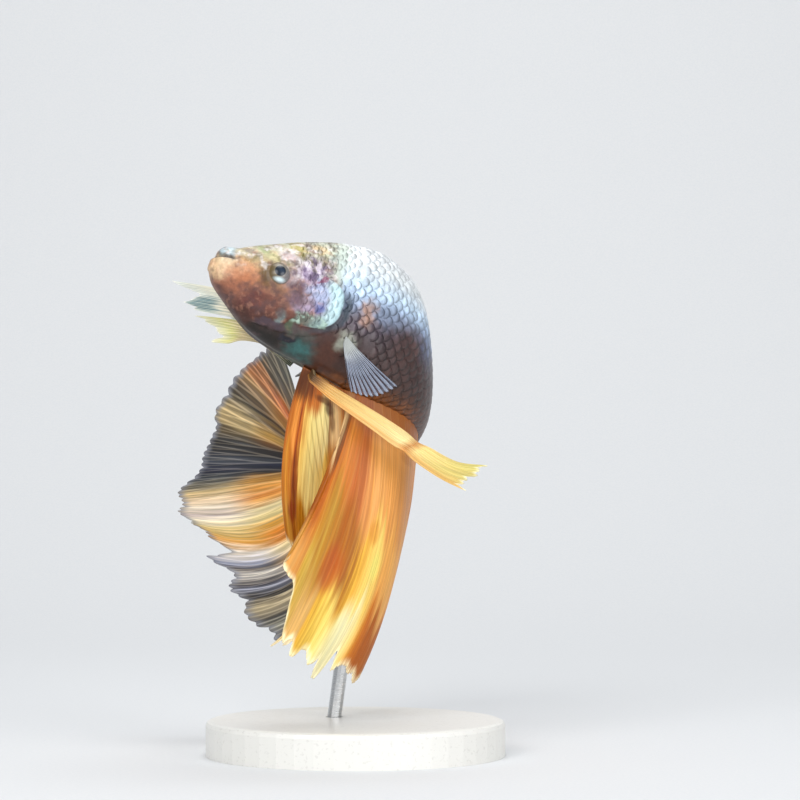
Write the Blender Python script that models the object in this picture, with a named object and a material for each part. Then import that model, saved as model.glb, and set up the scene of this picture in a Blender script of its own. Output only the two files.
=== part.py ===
"""Betta fish, a male with long fins: a still, life-size museum model held by a stand with one rod.

The body is a smooth form swept along a bent spine: the fish looks to -X, and its rear half
turns away to +Y and comes round behind. Numbers are millimetres and degrees unless a name says
otherwise, and the mesh is scaled to metres when it is made.
"""
import math

import bmesh
import bpy
from mathutils import Matrix, Vector

METRES = 0.001
SIDES = ((1, "left"), (-1, "right"))
GAP = 0.2  # clear space left between neighbouring pieces
FIN_THICKNESS = 0.5

# The body, measured along the spine from the snout.
BODY_LENGTH = 50.0  # standard length, snout to the root of the tail fin
SNOUT = Vector((-15.8, -11.0, 54.8))
SPINE_STEPS = 200
YAW = ((0, 17), (12, 18), (21, 45), (29, 88), (39, 126), (50, 148))
PITCH = ((0, 20), (11, 18), (20, 25), (29, 38), (40, 38), (50, 22))
ROLL = ((0, 4), (15, 7), (30, 10), (50, 10))
BACK_HEIGHT = ((0, 1.4), (0.4, 2.45), (1, 3.0), (1.6, 3.12), (2.2, 3.25), (3.4, 3.9), (6, 5.1), (9, 6.4),
               (14, 8.0), (19, 8.9), (24, 8.9), (27, 8.3), (34, 6.4), (42, 4.6), (46, 4.0), (50, 4.0))
BELLY_DEPTH = ((0, 0.5), (0.8, 1.7), (2.6, 3.1), (6.6, 5.7), (9.5, 6.6), (13, 7.2), (19, 8.1),
               (26, 8.0), (34, 6.2), (42, 4.3), (46, 3.7), (50, 3.7))
HALF_WIDTH = ((0, 0.9), (0.6, 1.6), (2, 2.2), (5, 2.95), (9, 3.75), (13.5, 4.3), (19, 4.55), (24, 4.5),
              (27, 4.1), (34, 2.8), (42, 1.7), (47, 1.1), (50, 0.75))
LIP_ROUNDING = ((0.27, 0.35), (0.2, 0.75))  # how far ahead of the lips, and the share of their size there
SECTION_SIDES = 24
RING_STEP = 1.6

# Where the body is parted, and its smaller pieces.
HEAD_END = 16.2
TRUNK_MIDDLE = 27.0
TRUNK_END = 40.0
JAW_TOP = 1.35  # height of the mouth line at the lips
JAW_REACH = 3.4  # how far back the lower jaw runs
JAW_AHEAD = 3.0  # how far the parting block reaches past the lips
JAW_BLOCK_WIDTH, JAW_BLOCK_HEIGHT = 9.0, 7.0
JAW_STOCK = 7.0  # length of body that the jaw is taken from
JAW_SLOPE = -9  # fall of the mouth line towards the corner
GILL_MIDDLE, GILL_HALF_LENGTH = 12.2, 3.1
GILL_CENTRE, GILL_HALF_ARC = 106, 42
GILL_PLATE = 0.9
DEGREES_PER_GAP = 12  # of arc round the flank, for each millimetre
EYE_PLACE, EYE_HEIGHT = 7.08, 1.33
EYE_RADIUS, EYE_OFFSET = 1.75, 1.95

# Long fins: a profile over each fin's own root line gives the angle in the X-Z plane, the length,
# the sideways bow and the Y of the tips.
TAIL_FIN_ANGLE = ((0, 106), (0.1, 128), (0.22, 162), (0.42, 188), (0.64, 199), (0.85, 222), (1, 246))
TAIL_FIN_LENGTH = ((0, 13.6), (0.24, 13.2), (0.42, 17.4), (0.55, 18.0), (0.68, 15.8), (0.74, 17.0),
                   (0.85, 17.2), (1, 19.0))
TAIL_FIN_BOW = ((0, -0.5), (0.4, 0.0), (0.6, 3.0), (0.74, 4.3), (1, 4.6))
TAIL_FIN_DEPTH = ((0, 19.0), (0.5, 22.0), (1, 20.0))
TAIL_FIN_RAYS = 13

ANAL_START, ANAL_SPLIT, ANAL_END = 13.2, 32.0, 44.5
ANAL_ANGLE = ((13.2, 265), (17, 265), (18.6, 268), (20, 247), (20.6, 250), (21.4, 251), (24, 255),
              (32.5, 257), (36, 251), (44.5, 238))
ANAL_LENGTH = ((13.2, 20.0), (18.6, 19.5), (20, 20.5), (20.7, 22.5), (21.4, 28.4), (24, 31.2),
               (29.5, 29.3), (32.5, 24.7), (36, 23.0), (44.5, 23.0))
ANAL_BOW = ((13.2, -1.4), (18.6, 0.7), (20, 0.6), (24, 3.0), (32.5, 1.2), (36, 2.0), (44.5, 2.0))
ANAL_DEPTH = ((13.2, -3.0), (17, -1.5), (18.6, -3.0), (20, -9.0), (24, -8.0), (26.5, -7.0), (29.5, -4.0),
              (32.5, 0.0), (36, 7.0), (40, 11.0), (44.5, 14.0))
ANAL_FRONT_RAYS, ANAL_REAR_RAYS = 17, 9
ANAL_NOTCHES = ((23.3, 0.09, 0.6), (26.7, 0.12, 1.0))  # deep bays in the edge: place, depth and half width

DORSAL_START, DORSAL_END = 26.5, 38.0
DORSAL_LIFT = ((26.5, 68), (32, 62), (38, 56))  # of the rays, from the line of the back
DORSAL_LENGTH = ((26.5, 10.0), (29, 13.0), (38, 12.5))
DORSAL_RAYS = 10

PECTORAL_PLACE, PECTORAL_AROUND = 15.8, 120
PECTORAL_FALL = ((0, 30), (1, 72))
PECTORAL_LENGTH = ((0, 6.9), (0.5, 6.4), (1, 5.2))
PECTORAL_RAYS = 9

# Each pelvic fin: the line that it follows, root first, its width there, and its rays.
LEFT_PELVIC_LINE = ((-4.6, -10.6, 42.6), (-1.8, -10.7, 40.6), (2.9, -11.5, 37.5), (6.7, -11.0, 34.8),
                    (10.6, -10.2, 32.4), (14.6, -9.4, 31.2))
LEFT_PELVIC_SLANT, RIGHT_PELVIC_SLANT = 0.08, -0.25  # how much shorter one side is: above 0 the last ray's
LEFT_PELVIC_WIDTH = ((0, 0.9), (0.2, 1.5), (0.5, 2.1), (0.8, 2.5), (1, 3.7))
RIGHT_PELVIC_LINE = ((-7.0, -6.1, 44.3), (-8.7, -4.6, 45.9), (-10.7, -4.6, 47.8), (-12.97, -5.1, 49.2),
                     (-16.9, -5.2, 49.9), (-21.2, -5.0, 50.4))
RIGHT_PELVIC_WIDTH = ((0, 0.8), (0.3, 1.5), (0.5, 4.0), (0.65, 5.8), (1, 6.6))
PELVIC_RAYS = 5

# The stand.
BASE_LENGTH, BASE_WIDTH, BASE_HEIGHT = 34.0, 32.0, 4.0
BASE_ROUNDING = 0.6
ROD_RADIUS = 0.8
ROD_FOOT = Vector((-2.8, 3.4, 1.5))
ROD_TIP = Vector((2.6, 0.8, 41.5))
ROD_LENGTH = (ROD_TIP - ROD_FOOT).length


def through(points, x):
    """The value at x of a smooth curve through (x, value) points that never overshoots them."""
    if x <= points[0][0]:
        return points[0][1]
    if x >= points[-1][0]:
        return points[-1][1]
    chords = [(b[1] - a[1]) / (b[0] - a[0]) for a, b in zip(points, points[1:])]
    slopes = [chords[0]]
    for left, right in zip(chords, chords[1:]):
        slopes.append(2 * left * right / (left + right) if left * right > 0 else 0.0)
    slopes.append(chords[-1])
    index = max(k for k in range(len(chords)) if points[k][0] <= x)
    (x0, y0), (x1, y1) = points[index], points[index + 1]
    run = x1 - x0
    t = (x - x0) / run
    rise = (3 - 2 * t) * t * t
    return (y0 * (1 - rise) + y1 * rise
            + run * (slopes[index] * (t - 2 * t * t + t ** 3) + slopes[index + 1] * (t ** 3 - t * t)))


def curve(points, t):
    """The point at t from 0 to 1 along a Catmull-Rom curve through points."""
    spans = len(points) - 1
    index = min(int(t * spans), spans - 1)
    t = t * spans - index
    p1, p2 = points[index], points[index + 1]
    p0 = points[index - 1] if index else p1 * 2 - p2
    p3 = points[index + 2] if index + 2 <= spans else p2 * 2 - p1
    return (p1 * 2 + (p2 - p0) * t + (p0 * 2 - p1 * 5 + p2 * 4 - p3) * t * t
            + (p1 * 3 - p0 - p2 * 3 + p3) * t ** 3) / 2


def axes(s):
    """The body's own directions at s along the spine: towards the tail, the back and the left flank."""
    yaw, pitch, roll = (math.radians(through(table, s)) for table in (YAW, PITCH, ROLL))
    tailward = Vector((math.cos(pitch) * math.cos(yaw), math.cos(pitch) * math.sin(yaw), -math.sin(pitch)))
    upright = Vector((math.sin(pitch) * math.cos(yaw), math.sin(pitch) * math.sin(yaw), math.cos(pitch)))
    level = Vector((math.sin(yaw), -math.cos(yaw), 0))
    backward = upright * math.cos(roll) - level * math.sin(roll)
    leftward = level * math.cos(roll) + upright * math.sin(roll)
    return tailward, backward, leftward


def spine_points():
    step = BODY_LENGTH / SPINE_STEPS
    points = [SNOUT.copy()]
    for k in range(SPINE_STEPS):
        points.append(points[-1] + axes((k + 0.5) * step)[0] * step)
    return points


SPINE = spine_points()


def spine(s):
    place = min(max(s / BODY_LENGTH, 0), 1) * SPINE_STEPS
    index = min(int(place), SPINE_STEPS - 1)
    return SPINE[index].lerp(SPINE[index + 1], place - index)


def skin(s, around, out=0.0):
    """The point of the body's surface at s, `around` degrees from the back over the left flank."""
    _, backward, leftward = axes(s)
    turn = math.radians(around)
    up = through(BACK_HEIGHT if math.cos(turn) > 0 else BELLY_DEPTH, s)
    across = through(HALF_WIDTH, s) * math.copysign(abs(math.sin(turn)) ** 0.88, math.sin(turn))
    offset = leftward * across + backward * up * math.cos(turn)
    return spine(s) + offset * (1 + out / offset.length)


def add_object(name, mesh_data, material):
    mesh = bpy.data.meshes.new(name)
    mesh_data.normal_update()
    bmesh.ops.recalc_face_normals(mesh_data, faces=mesh_data.faces)
    bmesh.ops.scale(mesh_data, vec=Vector((METRES,) * 3), verts=mesh_data.verts)
    mesh_data.to_mesh(mesh)
    mesh_data.free()
    if material:
        mesh.materials.append(material)
    mesh.shade_smooth()
    made = bpy.data.objects.new(name, mesh)
    bpy.context.collection.objects.link(made)
    return made


def material(name, colour, roughness, metallic=0.0, alpha=1.0):
    made = bpy.data.materials.new(name)
    made.use_nodes = True
    shader = made.node_tree.nodes["Principled BSDF"]
    shader.inputs["Base Color"].default_value = (*colour, 1)
    shader.inputs["Roughness"].default_value = roughness
    shader.inputs["Metallic"].default_value = metallic
    shader.inputs["Alpha"].default_value = alpha
    made.diffuse_color = (*colour, 1)
    made.roughness = roughness
    made.metallic = metallic
    return made


def cutter(made):
    made.hide_render = True
    made.display_type = "WIRE"
    return made


def cut(made, tool, operation="DIFFERENCE"):
    boolean = made.modifiers.new(tool.name, "BOOLEAN")
    boolean.operation = operation
    boolean.solver = "EXACT"
    boolean.object = tool


def loft(name, rings, look):
    """A closed solid through rings of points: a circle extruded from ring to ring."""
    data = bmesh.new()
    made = bmesh.ops.create_circle(data, segments=len(rings[0]), radius=1)
    circle = made["verts"]
    edges = list(data.edges)
    for vertex, point in zip(circle, rings[0]):
        vertex.co = point
    first = list(edges)
    for ring in rings[1:]:
        grown = bmesh.ops.extrude_edge_only(data, edges=edges)["geom"]
        edges = [item for item in grown if isinstance(item, bmesh.types.BMEdge) and item.is_boundary]
        fresh = {end for edge in edges for end in edge.verts}
        circle = [copy_of(vertex, fresh) for vertex in circle]
        for vertex, point in zip(circle, ring):
            vertex.co = point
    bmesh.ops.holes_fill(data, edges=first + edges, sides=0)
    return add_object(name, data, look)


def copy_of(vertex, fresh):
    """The extruded copy of a vertex: the far end of the one edge that leads to the fresh ring."""
    return next(edge.other_vert(vertex) for edge in vertex.link_edges if edge.other_vert(vertex) in fresh)


def ring(s, out=0.0):
    return [skin(s, 360 * k / SECTION_SIDES, out) for k in range(SECTION_SIDES)]


def lip_ring(ahead, share):
    """A smaller ring in front of the first one, so that the lips end round."""
    centre = skin(0, 0).lerp(skin(0, 180), 0.5)
    forward = axes(0)[0] * -ahead
    return [centre.lerp(point, share) + forward for point in ring(0)]


def body_length(name, start, end, look):
    """The length of body between two places on the spine, with rounded ends where it is an end."""
    count = max(2, round((end - start) / RING_STEP))
    places = [start + (end - start) * k / count for k in range(count + 1)]
    if start > 0:
        return loft(name, [ring(s) for s in places], look)
    places[1:1] = [0.15, 0.5, 0.9]
    return loft(name, [lip_ring(*rounding) for rounding in LIP_ROUNDING] + [ring(s) for s in places], look)


def sheet(name, place, across, along, look, thickness=FIN_THICKNESS):
    """A thin solid: a grid whose points place(u, v) sets, thickened by a Solidify modifier."""
    data = bmesh.new()
    bmesh.ops.create_grid(data, x_segments=across, y_segments=along, size=0.5)
    for vertex in data.verts:
        vertex.co = place(vertex.co.x + 0.5, vertex.co.y + 0.5)
    made = add_object(name, data, look)
    solid = made.modifiers.new("thickness", "SOLIDIFY")
    solid.thickness = thickness * METRES
    solid.offset = 0
    return made


def edge_of_rays(u, rays, notch):
    """How far out the edge lies at u: 1 at the tip of each ray, less by notch on the web between."""
    between = abs(math.cos(math.pi * u * rays))
    return 1 - notch * (1 - between)


def swept_ray(root, angle, length, bow, depth, v):
    """A point on a ray that leaves root at an angle in the X-Z plane and bows sideways."""
    turn = math.radians(angle)
    outward = Vector((math.cos(turn), 0, math.sin(turn)))
    sideways = Vector((-math.sin(turn), 0, math.cos(turn)))
    point = root + outward * length * v + sideways * bow * 4 * v * (1 - v)
    point.y = root.y + (depth - root.y) * (1 - (1 - v) ** 2)
    return point


def tail_fin_place(u, v):
    back, belly = skin(BODY_LENGTH, 0), skin(BODY_LENGTH, 180)
    root = back.lerp(belly, 0.04 + 0.92 * u) + axes(BODY_LENGTH)[0] * (GAP + 0.1)
    reach = v * edge_of_rays(u, TAIL_FIN_RAYS, 0.1)
    return swept_ray(root, through(TAIL_FIN_ANGLE, u), through(TAIL_FIN_LENGTH, u),
                     through(TAIL_FIN_BOW, u), through(TAIL_FIN_DEPTH, u), reach)


def bays(s):
    """How much the anal fin's deep bays take from a ray that starts at s."""
    return sum(depth * max(0, 1 - ((s - place) / half) ** 2) for place, depth, half in ANAL_NOTCHES)


def anal_fin_place(start, end, rays):
    def place(u, v):
        s = start + (end - start) * u
        root = skin(s, 180, GAP + 0.15)
        reach = v * edge_of_rays(u, rays, 0.1) * (1 - bays(s))
        return swept_ray(root, through(ANAL_ANGLE, s), through(ANAL_LENGTH, s), through(ANAL_BOW, s),
                         through(ANAL_DEPTH, s), reach)
    return place


def dorsal_fin_place(u, v):
    s = DORSAL_START + (DORSAL_END - DORSAL_START) * u
    tailward, backward, _ = axes(s)
    lift = math.radians(through(DORSAL_LIFT, s) - 14 * v)
    reach = v * through(DORSAL_LENGTH, s) * edge_of_rays(u, DORSAL_RAYS, 0.12)
    return skin(s, 0, GAP + 0.15) + (tailward * math.cos(lift) + backward * math.sin(lift)) * reach


def pectoral_place(side):
    tailward, backward, leftward = axes(PECTORAL_PLACE)
    root = skin(PECTORAL_PLACE, side * PECTORAL_AROUND, GAP + 0.35)

    def place(u, v):
        fall = math.radians(through(PECTORAL_FALL, u))
        ray = tailward * math.cos(fall) - backward * math.sin(fall)
        base = root + (tailward * 0.5 + backward * 0.9) * (0.5 - u)
        reach = v * through(PECTORAL_LENGTH, u) * edge_of_rays(u, PECTORAL_RAYS, 0.06)
        return base + ray * reach + leftward * side * (0.22 * reach + 0.02 * reach * reach)
    return place


def pelvic_place(line, width, slant):
    points = [Vector(point) for point in line]

    def place(u, v):
        shorter = abs(slant) * (u if slant > 0 else 1 - u)
        reach = v * edge_of_rays(u, PELVIC_RAYS, 0.16) * (1 - shorter)
        centre = curve(points, reach)
        ahead = (curve(points, min(reach + 0.02, 1)) - curve(points, max(reach - 0.02, 0))).normalized()
        across = Vector((-ahead.z, 0, ahead.x)).normalized()
        return centre + across * through(width, reach) * (0.5 - u)
    return place


def eye_centre(side):
    _, backward, leftward = axes(EYE_PLACE)
    return spine(EYE_PLACE) + backward * EYE_HEIGHT + leftward * side * EYE_OFFSET


def ball(name, centre, radius, look):
    data = bmesh.new()
    bmesh.ops.create_uvsphere(data, u_segments=14, v_segments=9, radius=radius)
    bmesh.ops.translate(data, vec=centre, verts=data.verts)
    return add_object(name, data, look)


def rod(name, start, end, radius, look):
    """A round bar along the stand's rod, between two distances from its foot."""
    along = (ROD_TIP - ROD_FOOT).normalized()
    data = bmesh.new()
    bmesh.ops.create_cone(data, cap_ends=True, segments=12, radius1=radius, radius2=radius, depth=end - start)
    bmesh.ops.transform(data, matrix=along.to_track_quat("Z", "Y").to_matrix().to_4x4(), verts=data.verts)
    bmesh.ops.translate(data, vec=ROD_FOOT + along * (start + end) / 2, verts=data.verts)
    return add_object(name, data, look)


def jaw_block(name, grow):
    """The block that parts the lower jaw from the head: its top is the mouth line."""
    tailward, backward, leftward = axes(0)
    lip = SNOUT + backward * (JAW_TOP + grow)
    turned = Matrix((tailward, leftward, backward)).transposed()
    turned = turned @ Matrix.Rotation(math.radians(JAW_SLOPE), 3, "Y")
    data = bmesh.new()
    bmesh.ops.create_cube(data, size=1)
    for vertex in data.verts:
        x, y, z = vertex.co + Vector((0.5, 0, -0.5))
        length = x * (JAW_AHEAD + JAW_REACH + grow) - JAW_AHEAD
        vertex.co = lip + turned @ Vector((length, y * JAW_BLOCK_WIDTH, z * JAW_BLOCK_HEIGHT))
    return cutter(add_object(name, data, None))


def gill_patch(side, name, grow, inward, outward, look):
    """A curved piece on the side of the head, rounded at its ends, between two depths of the surface."""
    def place(u, v):
        x, y = 2 * u - 1, 2 * v - 1
        s = GILL_MIDDLE + (GILL_HALF_LENGTH + grow) * x * math.sqrt(1 - y * y / 2)
        around = GILL_CENTRE + (GILL_HALF_ARC + grow * DEGREES_PER_GAP) * y * math.sqrt(1 - x * x / 2)
        return skin(s, side * around, (outward - inward) / 2)
    return sheet(name, place, 7, 7, look, inward + outward)


def head_pieces(looks):
    """The head, with the lower jaw and both gill covers parted from it and the eyes in their sockets."""
    head = body_length("head", 0, HEAD_END - GAP / 2, looks["head"])
    cut(head, jaw_block("jaw_seat", GAP))
    jaw = body_length("lower_jaw", 0, JAW_STOCK, looks["jaw"])
    cut(jaw, jaw_block("jaw_form", 0), "INTERSECT")
    for side, name in SIDES:
        seat = gill_patch(side, "gill_seat_" + name, GAP, GILL_PLATE + GAP, GILL_PLATE, None)
        cut(head, cutter(seat))
        gill_patch(side, "gill_cover_" + name, 0, GILL_PLATE, 0, looks["gill"])
        cut(head, cutter(ball("socket_" + name, eye_centre(side), EYE_RADIUS + GAP, None)))
        ball("eye_" + name, eye_centre(side), EYE_RADIUS, looks["eye"])


def trunk_and_tail(looks):
    front = body_length("trunk_front", HEAD_END + GAP / 2, TRUNK_MIDDLE - GAP / 2, looks["trunk"])
    rear = body_length("trunk_rear", TRUNK_MIDDLE + GAP / 2, TRUNK_END - GAP / 2, looks["rear"])
    body_length("tail", TRUNK_END + GAP / 2, BODY_LENGTH, looks["rear"])
    bore = cutter(rod("rod_bore", ROD_LENGTH - 15, ROD_LENGTH + GAP, ROD_RADIUS + GAP, None))
    for piece in (front, rear):
        cut(piece, bore)


def fins(looks):
    sheet("caudal_fin", tail_fin_place, TAIL_FIN_RAYS * 2, 6, looks["tail_fin"])
    sheet("anal_fin_front", anal_fin_place(ANAL_START, ANAL_SPLIT - GAP, ANAL_FRONT_RAYS),
          ANAL_FRONT_RAYS * 2, 8, looks["anal_fin"])
    sheet("anal_fin_rear", anal_fin_place(ANAL_SPLIT + GAP, ANAL_END, ANAL_REAR_RAYS),
          ANAL_REAR_RAYS * 2, 7, looks["anal_fin"])
    sheet("dorsal_fin", dorsal_fin_place, DORSAL_RAYS * 2, 4, looks["tail_fin"])
    sheet("pelvic_fin_left", pelvic_place(LEFT_PELVIC_LINE, LEFT_PELVIC_WIDTH, LEFT_PELVIC_SLANT),
          PELVIC_RAYS * 2, 11, looks["pelvic_fin"])
    sheet("pelvic_fin_right", pelvic_place(RIGHT_PELVIC_LINE, RIGHT_PELVIC_WIDTH, RIGHT_PELVIC_SLANT),
          PELVIC_RAYS * 2, 11, looks["pelvic_fin"])
    for side, name in SIDES:
        sheet("pectoral_fin_" + name, pectoral_place(side), PECTORAL_RAYS * 2, 4, looks["clear_fin"])


def stand(looks):
    data = bmesh.new()
    bmesh.ops.create_cone(data, cap_ends=True, segments=48, radius1=0.5, radius2=0.5, depth=1)
    bmesh.ops.scale(data, vec=Vector((BASE_LENGTH, BASE_WIDTH, BASE_HEIGHT)), verts=data.verts)
    bmesh.ops.translate(data, vec=Vector((0, 0, BASE_HEIGHT / 2)), verts=data.verts)
    rim = [edge for edge in data.edges if all(vertex.co.z > BASE_HEIGHT / 2 for vertex in edge.verts)]
    bmesh.ops.bevel(data, geom=rim, offset=BASE_ROUNDING, segments=2, profile=0.5, affect="EDGES")
    base = add_object("stand_base", data, looks["base"])
    cut(base, cutter(rod("rod_socket", -GAP, 6, ROD_RADIUS + GAP, None)))
    rod("stand_rod", 0, ROD_LENGTH, ROD_RADIUS, looks["rod"])


def build():
    for old in list(bpy.data.objects):
        bpy.data.objects.remove(old, do_unlink=True)
    looks = {
        "head": material("cheek_orange", (0.62, 0.34, 0.2), 0.35),
        "jaw": material("jaw_brown", (0.22, 0.15, 0.12), 0.35),
        "gill": material("gill_blue", (0.55, 0.72, 0.78), 0.3, 0.2),
        "trunk": material("trunk_pearl", (0.62, 0.66, 0.74), 0.3, 0.2),
        "rear": material("rear_mauve", (0.3, 0.2, 0.2), 0.35),
        "eye": material("eye_dark", (0.02, 0.025, 0.04), 0.05),
        "anal_fin": material("fin_orange", (0.8, 0.36, 0.08), 0.4),
        "tail_fin": material("fin_cream", (0.78, 0.62, 0.42), 0.4),
        "pelvic_fin": material("fin_yellow", (0.85, 0.75, 0.45), 0.4),
        "clear_fin": material("fin_clear", (0.75, 0.85, 0.9), 0.3),
        "base": material("base_white", (0.8, 0.8, 0.78), 0.35),
        "rod": material("rod_steel", (0.6, 0.6, 0.6), 0.25, 1.0),
    }
    head_pieces(looks)
    trunk_and_tail(looks)
    fins(looks)
    stand(looks)


build()
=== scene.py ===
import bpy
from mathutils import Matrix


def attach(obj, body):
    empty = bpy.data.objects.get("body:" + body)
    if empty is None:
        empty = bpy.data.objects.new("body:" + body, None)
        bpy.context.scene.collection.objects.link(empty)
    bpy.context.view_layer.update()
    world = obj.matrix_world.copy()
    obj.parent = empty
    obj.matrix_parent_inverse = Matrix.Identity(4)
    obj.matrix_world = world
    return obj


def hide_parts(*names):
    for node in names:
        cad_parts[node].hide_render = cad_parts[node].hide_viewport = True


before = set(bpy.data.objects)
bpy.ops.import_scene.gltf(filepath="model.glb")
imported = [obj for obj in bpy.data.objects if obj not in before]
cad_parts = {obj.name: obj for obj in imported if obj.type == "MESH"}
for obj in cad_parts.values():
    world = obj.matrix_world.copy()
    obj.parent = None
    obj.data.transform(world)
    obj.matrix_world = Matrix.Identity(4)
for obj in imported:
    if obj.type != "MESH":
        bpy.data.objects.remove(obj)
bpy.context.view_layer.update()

import bisect
import functools
import math
import random

import bmesh
import bpy
from mathutils import Vector, noise

# Betta fish on its display stand. Shapes are worked out in millimetres and degrees, in the frame of the
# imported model, and scaled to metres when a mesh is made. The body's form is the one that the CAD uses.

METRES = 0.001
SIDES = ((1, "left"), (-1, "right"))

# The body, measured along the spine from the snout.
BODY_LENGTH = 50.0
SNOUT = Vector((-15.8, -11.0, 54.8))
SPINE_STEPS = 200
SECTION_POWER = 0.88  # below 1, the body's section is a little boxier than an oval
YAW = ((0, 17), (12, 18), (21, 45), (29, 88), (39, 126), (50, 148))
PITCH = ((0, 20), (11, 18), (20, 25), (29, 38), (40, 38), (50, 22))
ROLL = ((0, 4), (15, 7), (30, 10), (50, 10))
BACK_HEIGHT = (
    (0, 1.4), (0.4, 2.45), (1, 3.0), (1.6, 3.12), (2.2, 3.25), (3.4, 3.9), (6, 5.1), (9, 6.4), (14, 8.0),
    (19, 8.9), (24, 8.9), (27, 8.3), (34, 6.4), (42, 4.6), (46, 4.0), (50, 4.0))
BELLY_DEPTH = (
    (0, 0.5), (0.8, 1.7), (2.6, 3.1), (6.6, 5.7), (9.5, 6.6), (13, 7.2), (19, 8.1), (26, 8.0), (34, 6.2),
    (42, 4.3), (46, 3.7), (50, 3.7))
HALF_WIDTH = (
    (0, 0.9), (0.6, 1.6), (2, 2.2), (5, 2.95), (9, 3.75), (13.5, 4.3), (19, 4.55), (24, 4.5), (27, 4.1),
    (34, 2.8), (42, 1.7), (47, 1.1), (50, 0.75))
EYE_PLACE, EYE_HEIGHT = 7.08, 1.33
EYE_RADIUS, EYE_OFFSET = 1.65, 1.97
CORNEA = 0.025  # how far the front of the eye bulges, as a share of its radius

# Long fins: a profile over each fin's own root line gives the angle in the X-Z plane, the length,
# the sideways bow and the Y of the tips.
FIN_SEAT = 0.35  # how far outside the body a fin's root line runs
TAIL_FIN_ANGLE = ((0, 106), (0.1, 128), (0.22, 162), (0.42, 188), (0.64, 199), (0.85, 222), (1, 246))
TAIL_FIN_LENGTH = (
    (0, 13.6), (0.24, 13.2), (0.42, 17.4), (0.55, 18.0), (0.68, 15.8), (0.74, 17.0), (0.85, 17.2),
    (1, 19.0))
TAIL_FIN_BOW = ((0, -0.5), (0.4, 0.0), (0.6, 3.0), (0.74, 4.3), (1, 4.6))
TAIL_FIN_DEPTH = ((0, 19.0), (0.5, 22.0), (1, 20.0))
TAIL_FIN_COURSE = (TAIL_FIN_ANGLE, TAIL_FIN_LENGTH, TAIL_FIN_BOW, TAIL_FIN_DEPTH)
TAIL_FIN_RAYS = 13

ANAL_START, ANAL_FRONT_END = 13.2, 31.8
ANAL_REAR_START, ANAL_END = 32.2, 44.5
ANAL_ANGLE = (
    (13.2, 265), (17, 265), (18.6, 268), (20, 247), (20.6, 250), (21.4, 251), (24, 255), (32.5, 257),
    (36, 251), (44.5, 238))
ANAL_LENGTH = (
    (13.2, 20.0), (18.6, 19.5), (20, 20.5), (20.7, 22.5), (21.4, 28.4), (24, 31.2), (29.5, 29.3),
    (32.5, 24.7), (36, 23.0), (44.5, 23.0))
ANAL_BOW = ((13.2, -1.4), (18.6, 0.7), (20, 0.6), (24, 3.0), (32.5, 1.2), (36, 2.0), (44.5, 2.0))
ANAL_DEPTH = (
    (13.2, -3.0), (17, -1.5), (18.6, -3.0), (20, -9.0), (24, -8.0), (26.5, -7.0), (29.5, -4.0), (32.5, 0.0),
    (36, 7.0), (40, 11.0), (44.5, 14.0))
ANAL_COURSE = (ANAL_ANGLE, ANAL_LENGTH, ANAL_BOW, ANAL_DEPTH)
ANAL_FRONT_RAYS, ANAL_REAR_RAYS = 17, 9

DORSAL_START, DORSAL_END = 26.5, 38.0
DORSAL_LIFT = ((26.5, 68), (32, 62), (38, 56))
DORSAL_LENGTH = ((26.5, 10.0), (29, 13.0), (38, 12.5))
DORSAL_RAYS = 10

PECTORAL_PLACE, PECTORAL_AROUND = 15.8, 120
PECTORAL_FALL = ((0, 30), (1, 72))
PECTORAL_LENGTH = ((0, 6.9), (0.5, 6.4), (1, 5.2))
PECTORAL_RAYS = 9

LEFT_PELVIC_LINE = (
    (-4.6, -10.6, 42.6), (-1.8, -10.7, 40.6), (2.9, -11.5, 37.5), (6.7, -11.0, 34.8), (10.6, -10.2, 32.4),
    (14.6, -9.4, 31.2))
LEFT_PELVIC_SLANT, RIGHT_PELVIC_SLANT = 0.08, -0.25
LEFT_PELVIC_WIDTH = ((0, 0.9), (0.2, 1.5), (0.5, 2.1), (0.8, 2.5), (1, 3.7))
RIGHT_PELVIC_LINE = (
    (-7.0, -6.1, 44.3), (-8.7, -4.6, 45.9), (-10.7, -4.6, 47.8), (-12.97, -5.1, 49.2), (-16.9, -5.2, 49.9),
    (-21.2, -5.0, 50.4))
RIGHT_PELVIC_WIDTH = ((0, 0.8), (0.3, 1.5), (0.5, 4.0), (0.65, 5.8), (1, 6.6))
PELVIC_RAYS = 5
PELVIC_ROOT = Vector((-6, 75, 32))  # the way from a pelvic fin's root into the belly


# ---------------------------------------------------------------- curves and the body's form

def through(points, x):
    """The value at x of a smooth curve through (x, value) points that never overshoots them."""
    if x <= points[0][0]:
        return points[0][1]
    if x >= points[-1][0]:
        return points[-1][1]
    index = bisect.bisect_right(points, x, key=lambda point: point[0]) - 1
    slopes = slopes_of(points)
    (x0, y0), (x1, y1) = points[index], points[index + 1]
    run = x1 - x0
    t = (x - x0) / run
    rise = (3 - 2 * t) * t * t
    return (y0 * (1 - rise) + y1 * rise
            + run * (slopes[index] * (t - 2 * t * t + t ** 3) + slopes[index + 1] * (t ** 3 - t * t)))


@functools.cache
def slopes_of(points):
    chords = [(b[1] - a[1]) / (b[0] - a[0]) for a, b in zip(points, points[1:])]
    slopes = [chords[0]]
    for left, right in zip(chords, chords[1:]):
        slopes.append(2 * left * right / (left + right) if left * right > 0 else 0.0)
    return slopes + [chords[-1]]


def curve(points, t):
    """The point at t from 0 to 1 along a Catmull-Rom curve through points."""
    spans = len(points) - 1
    index = max(0, min(int(t * spans), spans - 1))
    t = t * spans - index
    p1, p2 = points[index], points[index + 1]
    p0 = points[index - 1] if index else p1 * 2 - p2
    p3 = points[index + 2] if index + 2 <= spans else p2 * 2 - p1
    return (p1 * 2 + (p2 - p0) * t + (p0 * 2 - p1 * 5 + p2 * 4 - p3) * t * t
            + (p1 * 3 - p0 - p2 * 3 + p3) * t ** 3) / 2


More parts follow.
